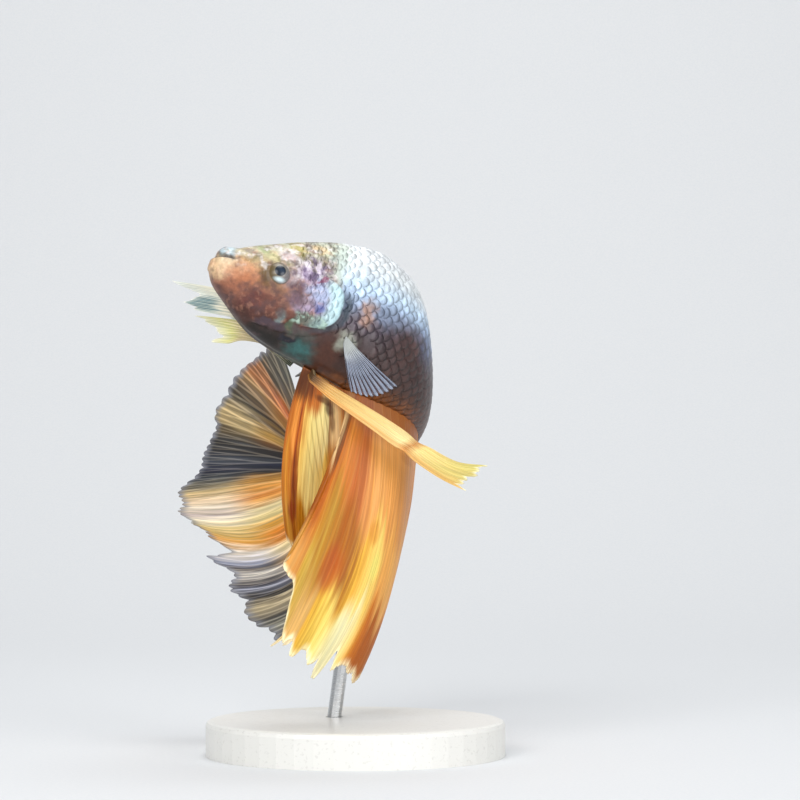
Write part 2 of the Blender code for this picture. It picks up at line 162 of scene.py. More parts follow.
def ease(x, low, high):
    """0 below low, 1 above high, and a smooth step between them."""
    t = min(max((x - low) / (high - low), 0.0), 1.0)
    return t * t * (3 - 2 * t)


def bump(x, width):
    """A rounded hump: 1 where x is 0, and near 0 past twice the width."""
    return math.exp(-(x / width) ** 2)


@functools.cache
def axes(s):
    """The body's own directions at s along the spine: towards the tail, the back and the left flank."""
    yaw, pitch, roll = (math.radians(through(table, s)) for table in (YAW, PITCH, ROLL))
    tailward = Vector((math.cos(pitch) * math.cos(yaw), math.cos(pitch) * math.sin(yaw), -math.sin(pitch)))
    upright = Vector((math.sin(pitch) * math.cos(yaw), math.sin(pitch) * math.sin(yaw), math.cos(pitch)))
    level = Vector((math.sin(yaw), -math.cos(yaw), 0))
    backward = upright * math.cos(roll) - level * math.sin(roll)
    leftward = level * math.cos(roll) + upright * math.sin(roll)
    return tailward, backward, leftward


def spine_points():
    step = BODY_LENGTH / SPINE_STEPS
    points = [SNOUT.copy()]
    for k in range(SPINE_STEPS):
        points.append(points[-1] + axes((k + 0.5) * step)[0] * step)
    return points


SPINE = spine_points()


def spine(s):
    place = min(max(s / BODY_LENGTH, 0), 1) * SPINE_STEPS
    index = min(int(place), SPINE_STEPS - 1)
    return SPINE[index].lerp(SPINE[index + 1], place - index)


@functools.cache
def section(s):
    """The spine's point at s, the body's directions there, and its height, depth and half width."""
    return (spine(s), *axes(s), through(BACK_HEIGHT, s), through(BELLY_DEPTH, s), through(HALF_WIDTH, s))


def height(s, around):
    """How high over the spine the body's surface lies at s, `around` degrees from the back."""
    up, down = section(s)[4:6]
    rise = math.cos(math.radians(around))
    return rise * (up if rise > 0 else down)


def skin(s, around, out=0.0):
    """The point of the body's surface at s, `around` degrees from the back over the left flank."""
    centre, _, backward, leftward, up, down, half = section(s)
    turn = math.radians(around)
    across = half * math.copysign(abs(math.sin(turn)) ** SECTION_POWER, math.sin(turn))
    rise = math.cos(turn)
    offset = leftward * across + backward * rise * (up if rise > 0 else down)
    return centre + offset * (1 + out / offset.length)


# ---------------------------------------------------------------- the face and gill covers, as relief

CAP = 0.3  # length along the spine that stands for the round end of the lips, and of the tail
LIP_REACH = 0.27
COAT = ((0, 0.1), (6, 0.14), (12, 0.2), (50, 0.2))  # depth of the bare skin under the solid's surface
MOUTH_HEIGHT, MOUTH_RISE, MOUTH_CORNER = 1.57, 0.125, 1.95
ORBIT_RIM = 1.2
RELIEF_END = 19  # behind this the body is plain
NOSTRILS = ((3.2, 2.05, 0.2), (4.9, 2.6, 0.16))  # place along, height and size
CHEEK_CENTRE, CHEEK_RADIUS = (6.3, -0.6), 4.2
COVER_CENTRE, COVER_SIZE = (9.6, -0.3), (4.8, 3.2)
THROAT_CENTRE, THROAT_SIZE = (8.8, -0.8), (5.7, 4.0)
PECTORAL_BASE = (16.2, -3.6)


def oval(s, z, centre, size, squareness):
    """About how many millimetres the place (s, z) lies outside a squarish oval."""
    x, y = abs(s - centre[0]) / size[0], abs(z - centre[1]) / size[1]
    return ((x ** squareness + y ** squareness) ** (1 / squareness) - 1) * min(size) * 1.1


def folds(s, z):
    """Distances outside the gill cover, outside the throat's membrane, and above the mouth line."""
    return (oval(s, z, COVER_CENTRE, COVER_SIZE, 3.0), oval(s, z, THROAT_CENTRE, THROAT_SIZE, 2.6),
            z - MOUTH_HEIGHT - MOUTH_RISE * s)


def relief(s, z, around):
    """How far the bare skin stands out from the plain form at s along the body and height z."""
    out = -through(COAT, s)
    if s > RELIEF_END:
        return out
    cover, throat, mouth = folds(s, z)
    # The mouth's slit, its lips, the dimple at its corner, and the crease behind the lower lip.
    near_mouth = 1 - ease(s, MOUTH_CORNER - 0.3, MOUTH_CORNER + 0.35)
    out -= 0.36 * near_mouth * bump(mouth, 0.12 + 0.16 * bump(s, 0.6))
    out += near_mouth * (0.1 * bump(mouth - 0.4, 0.22) + 0.13 * bump(mouth + 0.45, 0.28))
    out -= 0.12 * bump(math.hypot(s - MOUTH_CORNER, mouth), 0.3)
    out -= 0.13 * bump(s - 0.78, 0.16) * bump(z, 0.85)
    # The eye's socket with the rings round it, and the nostrils as pits with low rims.
    ring = math.hypot(s - EYE_PLACE, z - EYE_HEIGHT)
    out -= 0.95 * (1 - ease(ring, 0.74, 1.06))
    out += 0.08 * bump(ring - ORBIT_RIM, 0.17) - 0.06 * bump(ring - 1.66, 0.16) + 0.04 * bump(ring - 2.0, 0.2)
    for along, level, size in NOSTRILS:
        pit = math.hypot(s - along, z - level)
        out += 0.06 * bump(pit - size * 1.6, size * 0.6) - 0.28 * bump(pit, size)
    # The fold under the cheek, and the free edge of the gill cover.
    cheek = math.hypot(s - CHEEK_CENTRE[0], z - CHEEK_CENTRE[1]) - CHEEK_RADIUS
    lower_rear = ease(s, 5.2, 7.6) * ease(-z, -1.4, 0.6)
    out += lower_rear * (0.08 * bump(cheek + 0.4, 0.28) - 0.11 * bump(cheek, 0.15))
    edge = ease(s, 9.5, 12.0)
    out += edge * (0.2 * (1 - ease(cover, -0.3, 0.05)) - 0.18 * bump(cover - 0.2, 0.16))
    # The throat's pleated membrane, and the groove along its middle.
    under = ease(-z, 1.6, 3.0) * ease(s, 4.5, 6.5)
    out += under * (0.14 * (1 - ease(throat, -0.3, 0.05)) - 0.16 * bump(throat - 0.2, 0.18))
    out += under * 0.03 * math.cos(throat * 9) * ease(throat, -1.9, -1.2) * (1 - ease(throat, -0.3, 0))
    out -= 0.14 * bump(180 - abs(around), 7) * ease(s, 4, 7) * (1 - ease(s, 12, 14))
    # The mound at the root of the pectoral fin.
    base = math.hypot((s - PECTORAL_BASE[0]) / 1.1, (z - PECTORAL_BASE[1]) / 1.3)
    return out + 0.32 * (1 - ease(base, 0.45, 1.1))


def body_point(s, around, out=0.0):
    """A point of the sculpted skin, `out` above it. Past either end of the spine the form closes round."""
    if s < 0:
        left = 1 + s / CAP
        centre = skin(0, 0).lerp(skin(0, 180), 0.5)
        share = math.sin(math.radians(90 * left)) ** 0.85
        point = centre.lerp(skin(0, around, relief(0, height(0, around), around) + out), share)
        z = (point - SNOUT).dot(axes(0)[1])
        dent = 0.3 * bump(z - MOUTH_HEIGHT + 0.25, 0.12)
        return point - axes(0)[0] * (LIP_REACH * math.cos(math.radians(90 * left)) - dent)
    if s > BODY_LENGTH:
        left = 1 - (s - BODY_LENGTH) / CAP
        share = math.sin(math.radians(90 * left))
        return spine(BODY_LENGTH).lerp(skin(BODY_LENGTH, around, -COAT[-1][1] + out), share)
    return skin(s, around, relief(s, height(s, around), around) + out)


# ---------------------------------------------------------------- making meshes

def placed(name, held):
    """An object that holds a mesh, a lamp or a camera, added to the scene."""
    made = bpy.data.objects.new(name, held)
    bpy.context.scene.collection.objects.link(made)
    return made


def mesh_object(name, data, look):
    """An object at the origin, from shapes worked out in millimetres."""
    bmesh.ops.scale(data, vec=Vector((METRES,) * 3), verts=data.verts)
    mesh = bpy.data.meshes.new(name)
    data.to_mesh(mesh)
    data.free()
    mesh.materials.append(look)
    mesh.shade_smooth()
    return placed(name, mesh)


def add_piece(name, data, look, slot, replaced=(), turn_out=True):
    """Makes a piece, hangs it on the root, and hides the parts that it replaces."""
    data.normal_update()
    if turn_out:
        bmesh.ops.recalc_face_normals(data, faces=data.faces)
    piece = mesh_object(name, data, look)
    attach(piece, "root")
    if replaced:
        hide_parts(*replaced)
    return piece


def layers(data, *names):
    """The chart that every coat piece carries, and a vector attribute for each name."""
    return data.loops.layers.uv.new("OFBake"), *(data.verts.layers.float_vector.new(name) for name in names)


def put_on_chart(vertex, chart, flat):
    for loop in vertex.link_loops:
        loop[chart].uv = flat


def spread(values, shares):
    """A list of places between neighbouring values, with that many equal steps in each gap."""
    places = [values[0]]
    for low, high, steps in zip(values, values[1:], shares):
        places += [low + (high - low) * (k + 1) / steps for k in range(steps)]
    return places


UNWRAP_START, UNWRAP_LENGTH = -1.0, 52.0


def unwrap(s, around):
    """The place of a body point on the chart, where the whole skin lies unwrapped."""
    return Vector(((around + 180) / 360, (s - UNWRAP_START) / UNWRAP_LENGTH))


SKIN_AROUND = 192
SKIN_ROWS = spread((-CAP, 0, 17, 28, BODY_LENGTH, BODY_LENGTH + CAP), (8, 150, 50, 84, 5))


def bare_skin(look):
    """One skin over the whole body, from the lips to the root of the tail fin."""
    data = bmesh.new()
    chart, place_of, folds_of = layers(data, "body_place", "body_folds")
    rows = len(SKIN_ROWS) - 1
    bmesh.ops.create_grid(data, x_segments=SKIN_AROUND, y_segments=rows, size=0.5)
    for vertex in data.verts:
        s = SKIN_ROWS[round((vertex.co.y + 0.5) * rows)]
        around = 360 * vertex.co.x
        vertex.co = body_point(s, around)
        put_on_chart(vertex, chart, unwrap(s, around))
        z = height(min(max(s, 0), BODY_LENGTH), around)
        if s < 0:
            z = (vertex.co - SNOUT).dot(axes(0)[1])
        vertex[place_of] = Vector((s, z, 0))
        vertex[folds_of] = Vector(folds(s, z))
    bmesh.ops.remove_doubles(data, verts=data.verts, dist=0.0005)
    add_piece("skin", data, look, "trunk_pearl", (
        "head", "lower_jaw", "gill_cover_left", "gill_cover_right", "trunk_front", "trunk_rear", "tail"))


# ---------------------------------------------------------------- scales

ARC_STEPS = 72
SCALE_SEED = 7
SCALE_THICKNESS = 0.036
SCALE_ROOT_DEPTH = 0.1
SCALE_LENGTH, SCALE_WIDTH = 3.1, 1.1  # as multiples of the distances between the rows and between neighbours
SCALE_CROWN = 0.02  # how much higher a scale is along its middle
SCALE_SIZE_SPREAD, SCALE_LIFT_SPREAD, SCALE_SKEW_SPREAD = 0.07, 0.15, 0.08
SCALE_LIFT = ((7, -0.01), (9, 0.01), (13, 0.015), (15, 0.04), (20, 0.055), (50, 0.06))  # of a scale's tip
SCALE_CHART = 0.003  # size of a scale on the unwrap


@functools.cache
def arc_table(whole):
    """Distances round the left half of the body's section at a whole place, from the back to the belly."""
    ring = [skin(whole, 180 * k / ARC_STEPS) for k in range(ARC_STEPS + 1)]
    lengths = [0.0]
    for a, b in zip(ring, ring[1:]):
        lengths.append(lengths[-1] + (b - a).length)
    return lengths


def girth(s):
    low = int(s)
    return 2 * (arc_table(low)[-1] * (low + 1 - s) + arc_table(low + 1)[-1] * (s - low))


def turn_at(s, share):
    """The angle round the body at a share of the way from the back (0) over a flank to the belly (0.5)."""
    low = int(s)
    found = []
    for whole in (low, low + 1):
        table = arc_table(whole)
        target = abs(share) * 2 * table[-1]
        k = min(bisect.bisect_right(table, target), ARC_STEPS) - 1
        found.append((k + (target - table[k]) / (table[k + 1] - table[k])) * 180 / ARC_STEPS)
    return math.copysign(found[0] + (found[1] - found[0]) * (s - low), share)


def scale_form():
    """One scale, as a small closed plate: x runs from its root at 0 to its tip at 1, and y across it."""
    data = bmesh.new()
    bmesh.ops.create_grid(data, x_segments=4, y_segments=4, size=1)
    for vertex in data.verts:
        x, y = vertex.co.x, vertex.co.y
        round_x, round_y = x * math.sqrt(1 - y * y / 2), y * math.sqrt(1 - x * x / 2)
        vertex.co = Vector((0.5 + 0.5 * round_x, 0.5 * round_y * (1 - 0.1 * (1 - x)), 0))
    grown = bmesh.ops.extrude_face_region(data, geom=list(data.faces))["geom"]
    top = [item for item in grown if isinstance(item, bmesh.types.BMVert)]
    bmesh.ops.translate(data, vec=Vector((0, 0, 1)), verts=top)
    data.normal_update()
    bmesh.ops.recalc_face_normals(data, faces=data.faces)
    form = bpy.data.meshes.new("scale_form")
    data.to_mesh(form)
    data.free()
    return form


def scale_places(start, end, pitch, abreast, wanted):
    """Places in staggered rows: (s, share of the girth, distance to the next row, a neighbour's share)."""
    places = []
    s, row = start, 0
    while s < end:
        step = through(pitch, s)
        count = 2 * round(girth(s) / (2 * through(abreast, s)))
        for k in range(count):
            share = (k + 0.5 * (row % 2) + 0.25) / count - 0.5
            if wanted(s, height(s, turn_at(s, share))):
                places.append((s, share, step, 1 / count))
        s += step
        row += 1
    return places


def scale_coat(name, look, places):
    """Joins a plate at each place, with its root under the skin and its tip standing a little above it."""
    form = scale_form()
    chance = random.Random(SCALE_SEED)
    data = bmesh.new()
    chart, place_of, folds_of, scale_place_of = layers(data, "body_place", "body_folds", "scale_place")
    total = 0
    for s, share, step, across in places:
        data.from_mesh(form)
        data.verts.ensure_lookup_table()
        fresh = data.verts[total:]
        total += len(fresh)
        root = unwrap(s, turn_at(s, share))
        tint = chance.random()
        size = 1 + chance.uniform(-SCALE_SIZE_SPREAD, SCALE_SIZE_SPREAD)
        raised = through(SCALE_LIFT, s) * (1 + chance.uniform(-SCALE_LIFT_SPREAD, SCALE_LIFT_SPREAD))
        skew = chance.uniform(-SCALE_SKEW_SPREAD, SCALE_SKEW_SPREAD)
        for vertex in fresh:
            x, y, top = vertex.co
            along = min(s + x * step * SCALE_LENGTH * size, BODY_LENGTH - 0.01)
            beside = max(-0.4999, min(0.4999, share + (y + skew * x) * across * SCALE_WIDTH * size))
            out = -SCALE_ROOT_DEPTH + (raised + SCALE_ROOT_DEPTH) * x + SCALE_CROWN * (1 - 4 * y * y)
            turn = turn_at(along, beside)
            z = height(along, turn)
            vertex.co = body_point(along, turn, out - SCALE_THICKNESS * (1 - top))
            vertex[place_of] = Vector((along, z, 0))
            vertex[folds_of] = Vector(folds(along, z))
            vertex[scale_place_of] = Vector((x, y, tint))
            put_on_chart(vertex, chart, root + Vector((x - 0.5, y)) * SCALE_CHART)
    bpy.data.meshes.remove(form)
    add_piece(name, data, look, "trunk_pearl", turn_out=False)


# Distances between rows of scales, and between neighbours in a row.
TRUNK_PITCH = ((14, 0.5), (20, 0.58), (36, 0.52), (50, 0.42))
TRUNK_ABREAST = ((14, 1.4), (22, 1.7), (50, 1.25))
HEAD_PITCH, HEAD_ABREAST = ((7, 0.36), (14, 0.48)), ((7, 1.0), (14, 1.35))


def scales(look):
    """Scales over the trunk in two pieces, and small flat ones on the nape, cheeks and gill covers."""
    def on_trunk(s, z):
        off_pectoral = math.hypot((s - PECTORAL_BASE[0]) / 0.8, z - PECTORAL_BASE[1]) > 1
        behind_cover = folds(s, z)[0] > -0.5
        return behind_cover and off_pectoral and (z > -5.5 or s > 16) and (s > 14.2 or abs(z) < 3.2)

    def on_head(s, z):
        cover = folds(s, z)[0]
        crown = z > 3.2 and s > 7.6
        behind_eye = s > 9 and z > -1 and cover < -0.2
        on_cover = cover < -0.9 and s > 8.8 and z > -2.8
        return (crown or behind_eye or on_cover) and s < 14.6 - max(0, 3 - abs(z)) * 0.2

    trunk = scale_places(13.2, 48.8, TRUNK_PITCH, TRUNK_ABREAST, on_trunk)
    for side, name in SIDES:
        scale_coat("scales_" + name, look, [place for place in trunk if place[1] * side > 0])
    scale_coat("scales_head", look, scale_places(7.2, 14.2, HEAD_PITCH, HEAD_ABREAST, on_head))


# ---------------------------------------------------------------- eyes

def eye(side, name, look):
    """An eyeball whose front bulges into a low cornea, painted by its own directions."""
    tailward, backward, leftward = axes(EYE_PLACE)
    centre = spine(EYE_PLACE) + backward * EYE_HEIGHT + leftward * side * EYE_OFFSET
    gaze = (leftward * side - tailward * 0.06 + backward * 0.05).normalized()
    ahead = (-tailward - gaze * -tailward.dot(gaze)).normalized()
    upward = ahead.cross(gaze) * side
    data = bmesh.new()
    place_of = data.verts.layers.float_vector.new("eye_place")
    bmesh.ops.create_uvsphere(data, u_segments=64, v_segments=40, radius=EYE_RADIUS)
    for vertex in data.verts:
        x, y, z = vertex.co / EYE_RADIUS
        vertex[place_of] = Vector((x, y, z))
        ring = math.hypot(x, y)
        depth = 0.99 + CORNEA * (1 - ease(ring, 0.25, 0.75)) * (z > 0)
        vertex.co = centre + (ahead * x + upward * y + gaze * z) * EYE_RADIUS * depth
    add_piece("eyeball_" + name, data, look, "eye_dark", ("eye_" + name,))


# ---------------------------------------------------------------- fins

def swept_ray(root, course, x, v):
    """A point on a ray that leaves root at an angle in the X-Z plane and bows sideways."""
    angle, length, bow, depth = (through(table, x) for table in course)
    turn = math.radians(angle)
    outward = Vector((math.cos(turn), 0, math.sin(turn)))
    sideways = Vector((-math.sin(turn), 0, math.cos(turn)))
    point = root + outward * length * v + sideways * bow * 4 * v * (1 - v)
    point.y = root.y + (depth - root.y) * (1 - (1 - v) ** 2)
    return point


def tail_fin_place(u, v):
    back, belly = skin(BODY_LENGTH, 0), skin(BODY_LENGTH, 180)
    root = back.lerp(belly, 0.04 + 0.92 * u) + axes(BODY_LENGTH)[0] * 0.3
    return swept_ray(root, TAIL_FIN_COURSE, u, v)


def anal_fin_place(start, end):
    def place(u, v):
        s = start + (end - start) * u
        return swept_ray(skin(s, 180, FIN_SEAT), ANAL_COURSE, s, v)
    return place


def dorsal_fin_place(u, v):
    s = DORSAL_START + (DORSAL_END - DORSAL_START) * u
    tailward, backward, _ = axes(s)
    lift = math.radians(through(DORSAL_LIFT, s) - 14 * v)
    reach = v * through(DORSAL_LENGTH, s)
    return skin(s, 0, FIN_SEAT) + (tailward * math.cos(lift) + backward * math.sin(lift)) * reach


def pectoral_place(side):
    tailward, backward, leftward = axes(PECTORAL_PLACE)
    root = skin(PECTORAL_PLACE, side * PECTORAL_AROUND, 0.35)

    def place(u, v):
        fall = math.radians(through(PECTORAL_FALL, u))
        ray = tailward * math.cos(fall) - backward * math.sin(fall)
        base = root + (tailward * 0.5 + backward * 0.9) * (0.5 - u)
        reach = v * through(PECTORAL_LENGTH, u)
        return base + ray * reach + leftward * side * (0.22 * reach + 0.02 * reach * reach)
    return place


KINK, LEFT_TWIST, RIGHT_TWIST = 0.6, 42, 0  # where a pelvic fin folds over itself, and by how many degrees


def pelvic_place(line, width, slant, twist):
    """A ribbon that follows a line, turned over by `twist` degrees where it is kinked."""
    points = [Vector(point) for point in line]

    def place(u, v):
        shorter = abs(slant) * (u if slant > 0 else 1 - u)
        reach = max(v, 0) * (1 - shorter)
        centre = curve(points, reach) - PELVIC_ROOT * min(v, 0)
        ahead = (curve(points, min(reach + 0.02, 1)) - curve(points, max(reach - 0.02, 0))).normalized()
        across = Vector((-ahead.z, 0, ahead.x)).normalized()
        turn = math.radians(twist * bump(v - KINK, 0.07))
        across = across * math.cos(turn) + across.cross(ahead) * math.sin(turn)
        return centre + across * through(width, reach) * (0.5 - u)
    return place


def ray_ridge(u, v, rays):
    """1 on a ray and 0 on the web between. Each ray soon forks in two, and then again."""
    part = u * rays - round(u * rays)
    fork = 0.25 * ease(v, 0.02, 0.4)
    second = 0.125 * ease(v, 0.25, 0.75)
    return bump(abs(abs(abs(part) - fork) - second), 0.075 - 0.03 * v)


# Edges of the fins: how far out the edge lies across each fin, as a share of the ray's full length.
TAIL_EDGE = (
    (0, 0.97), (0.04, 1), (0.075, 0.96), (0.12, 1), (0.155, 0.97), (0.19, 1), (0.22, 0.945), (0.27, 0.98),
    (0.33, 0.925), (0.37, 0.895), (0.43, 1), (0.475, 0.965), (0.525, 1), (0.575, 0.955), (0.625, 1),
    (0.68, 0.985), (0.71, 0.85), (0.74, 1), (0.785, 0.885), (0.83, 0.955), (0.86, 0.975), (0.885, 0.95),
    (0.92, 0.98), (0.95, 0.985), (0.975, 0.95), (1, 0.97))
ANAL_EDGE = (
    (13.2, 0.96), (13.8, 1), (14.6, 0.95), (15.5, 1), (16.4, 0.95), (17.3, 1), (18.2, 0.94), (19, 0.99),
    (19.6, 0.95), (20.3, 1), (20.8, 0.96), (21.1, 0.98), (21.5, 1), (21.85, 0.95), (22.2, 1), (22.7, 0.935),
    (23.3, 0.967), (23.55, 0.95), (23.9, 1), (24.3, 0.995), (24.85, 0.88), (25.45, 0.96), (25.9, 0.94),
    (26.3, 0.925), (27.2, 0.95), (28.2, 0.978), (29, 1), (29.5, 0.985), (30.2, 1), (30.8, 0.985), (31.8, 1))
LEFT_PELVIC_EDGE = ((0, 1), (0.2, 0.975), (0.35, 0.985), (0.55, 0.95), (0.7, 0.965), (0.85, 0.95), (1, 1))
RIGHT_PELVIC_EDGE = (
    (0, 1), (0.05, 0.97), (0.13, 0.875), (0.2, 0.905), (0.28, 0.9), (0.36, 0.945), (0.41, 0.95), (0.445, 1),
    (0.46, 0.93), (0.475, 0.78), (0.5, 0.755), (0.52, 0.78), (0.535, 0.93), (0.56, 0.975), (0.6, 0.955),
    (0.66, 1), (0.7, 0.955), (0.76, 0.925), (0.83, 0.89), (0.9, 0.93), (0.95, 0.97), (1, 1))
STRAIGHT_EDGE = ((0, 1), (1, 1))


def anal_u(s):
    """Where the ray that starts at s lies across the front curtain."""
    return (s - ANAL_START) / (ANAL_FRONT_END - ANAL_START)


# For each kind of fin: rays, columns for each ray, rows, notch between rays, fine teeth, height of the rays,
# pleats, folds and the edge.
FIN_SHAPES = {
    "tail": (TAIL_FIN_RAYS, 26, 66, 0.02, 0.03, 0.2, 0.045, 0.2, TAIL_EDGE),
    "anal_front": (ANAL_FRONT_RAYS, 22, 92, 0.01, 0.012, 0.1, 0.015, 0.3,
                   tuple((anal_u(s), reach) for s, reach in ANAL_EDGE)),
    "anal_rear": (ANAL_REAR_RAYS, 22, 64, 0.1, 0.03, 0.2, 0.06, 0.18, STRAIGHT_EDGE),
    "dorsal": (DORSAL_RAYS, 20, 40, 0.12, 0.03, 0.28, 0.06, 0.06, STRAIGHT_EDGE),
    "pectoral": (PECTORAL_RAYS, 16, 34, 0.05, 0.03, 0.3, 0.03, 0.02, STRAIGHT_EDGE),
    "pelvic_left": (PELVIC_RAYS, 20, 110, 0.02, 0.015, 0.2, 0.04, 0.1, LEFT_PELVIC_EDGE),
    "pelvic_right": (PELVIC_RAYS, 30, 110, 0.0, 0.008, 0.2, 0.04, 0.08, RIGHT_PELVIC_EDGE),
}
FIN_STOCK, WEB_SHARE = 0.42, 0.36  # thickness of a fin at its root, and the share of it that a web has


def fin_edge(u, shape, seed):
    """How far out the edge lies at u: its own tips and bays, notches between rays, and fine uneven teeth."""
    rays, _, _, notch, teeth, _, _, _, edge = FIN_SHAPES[shape]
    between = 1 - abs(math.cos(math.pi * u * rays))
    tooth = 1 - abs(math.cos(math.pi * (u * rays * 4 + 0.5)))
    uneven = noise.noise(Vector((u * rays * 1.3, seed, 0)))
    torn = (1 - notch * between) * (1 - teeth * tooth * (0.7 + uneven)) * (1 - 0.012 * (1 + uneven))
    return through(edge, u) * torn


def fin(name, shape, place, look, slot, replaced, seed, root):
    """A fin as a thin closed sheet: ridged by its rays, thin in its webs, pleated, and ragged at the edge."""
    rays, columns, rows, _, _, ray_height, pleat, fold, _ = FIN_SHAPES[shape]
    data = bmesh.new()
    chart, place_of = layers(data, "fin_place")
    weight_of = data.verts.layers.deform.verify()
    bmesh.ops.create_grid(data, x_segments=rays * columns, y_segments=rows, size=0.5)
    spots = {}
    for vertex in data.verts:
        u, t = vertex.co.x + 0.5, vertex.co.y + 0.5
        v = root + (1 - root) * t
        vertex.co = place(u, v * (1 - (1 - fin_edge(u, shape, seed)) * ease(v, 0.3, 1)))
        ridge = ray_ridge(u, v, rays)
        vertex[place_of] = Vector((u, v, 0))
        stock = (WEB_SHARE + ray_height * ridge) * (1 - 0.5 * ease(v, 0.85, 1))
        vertex[weight_of][0] = min(stock + 0.5 * (1 - ease(v, 0.0, 0.12)), 1.0)
        spots[vertex] = (u, v)
        put_on_chart(vertex, chart, Vector((0.01 + 0.98 * u, 0.01 + 0.98 * t)))
    data.normal_update()
    for vertex, (u, v) in spots.items():
        wave = math.cos(2 * math.pi * u * rays) + 0.5 * math.cos(4 * math.pi * u * rays) * ease(v, 0.4, 0.9)
        swell = noise.noise(Vector((u * rays * 0.45, v * 1.1, seed + 9.5))) * 2
        rise = pleat * wave * ease(v, 0.02, 0.35) + fold * swell * ease(v, 0.1, 0.5)
        vertex.co += vertex.normal * rise
    piece = add_piece(name, data, look, slot, replaced)
    piece.vertex_groups.new(name="stock")
    solid = piece.modifiers.new("thickness", "SOLIDIFY")
    solid.thickness = FIN_STOCK * METRES
    solid.offset = 0
    solid.vertex_group = "stock"


def fins(looks):
    """Each fin has a name, a shape, a course, a look, a slot, the node that it replaces, and where its sheet
    starts inside the body, as a share of its length."""
    left = pelvic_place(LEFT_PELVIC_LINE, LEFT_PELVIC_WIDTH, LEFT_PELVIC_SLANT, LEFT_TWIST)
    right = pelvic_place(RIGHT_PELVIC_LINE, RIGHT_PELVIC_WIDTH, RIGHT_PELVIC_SLANT, RIGHT_TWIST)
    front, rear = anal_fin_place(ANAL_START, ANAL_FRONT_END), anal_fin_place(ANAL_REAR_START, ANAL_END)
    for seed, (name, shape, place, look, slot, node, root) in enumerate((
            ("tail_fin", "tail", tail_fin_place, "tail", "fin_cream", "caudal_fin", -0.035),
            ("anal_curtain_front", "anal_front", front, "anal_front", "fin_orange", "anal_fin_front", -0.03),
            ("anal_curtain_rear", "anal_rear", rear, "anal_rear", "fin_orange", "anal_fin_rear", -0.04),
            ("back_fin", "dorsal", dorsal_fin_place, "tail", "fin_cream", "dorsal_fin", -0.07),
            ("belly_fin_left", "pelvic_left", left, "pelvic_left", "fin_yellow", "pelvic_fin_left", -0.035),
            ("belly_fin_right", "pelvic_right", right, "pelvic_right", "fin_yellow", "pelvic_fin_right",
             -0.035)), 1):
        fin(name, shape, place, looks[look], slot, (node,), seed, root)
    for side, name in SIDES:
        fin("breast_fin_" + name, "pectoral", pectoral_place(side), looks["clear"], "fin_clear",
            ("pectoral_fin_" + name,), 7, -0.1)


# ---------------------------------------------------------------- materials

def paint(red, green, blue):
    """A colour as a painter reads it, from 0 to 255, turned into the linear values that shaders use."""
    shares = (value / 255 for value in (red, green, blue))
    return (*(share / 12.92 if share <= 0.04045 else ((share + 0.055) / 1.055) ** 2.4 for share in shares), 1)


class Signal:
    """What an output of a node gives. Arithmetic on it adds the nodes that do the sum."""

    def __init__(self, wire, socket):
        self.wire = wire
        self.socket = socket

    def __add__(self, other):
        return self.wire.maths("ADD", self, other)

    def __sub__(self, other):
        return self.wire.maths("SUBTRACT", self, other)

    def __rsub__(self, other):
        return self.wire.maths("SUBTRACT", other, self)

    def __mul__(self, other):
        return self.wire.maths("MULTIPLY", self, other)

    def __truediv__(self, other):
        return self.wire.maths("DIVIDE", self, other)

    def __abs__(self):
        return self.wire.maths("ABSOLUTE", self)

    def step(self, low, high, to_low=0.0, to_high=1.0):
        """A smooth step: to_low below low and to_high above high."""
        sockets = {0: self, 1: low, 2: high, 3: to_low, 4: to_high}
        return self.wire.add("ShaderNodeMapRange", sockets, interpolation_type="SMOOTHSTEP")


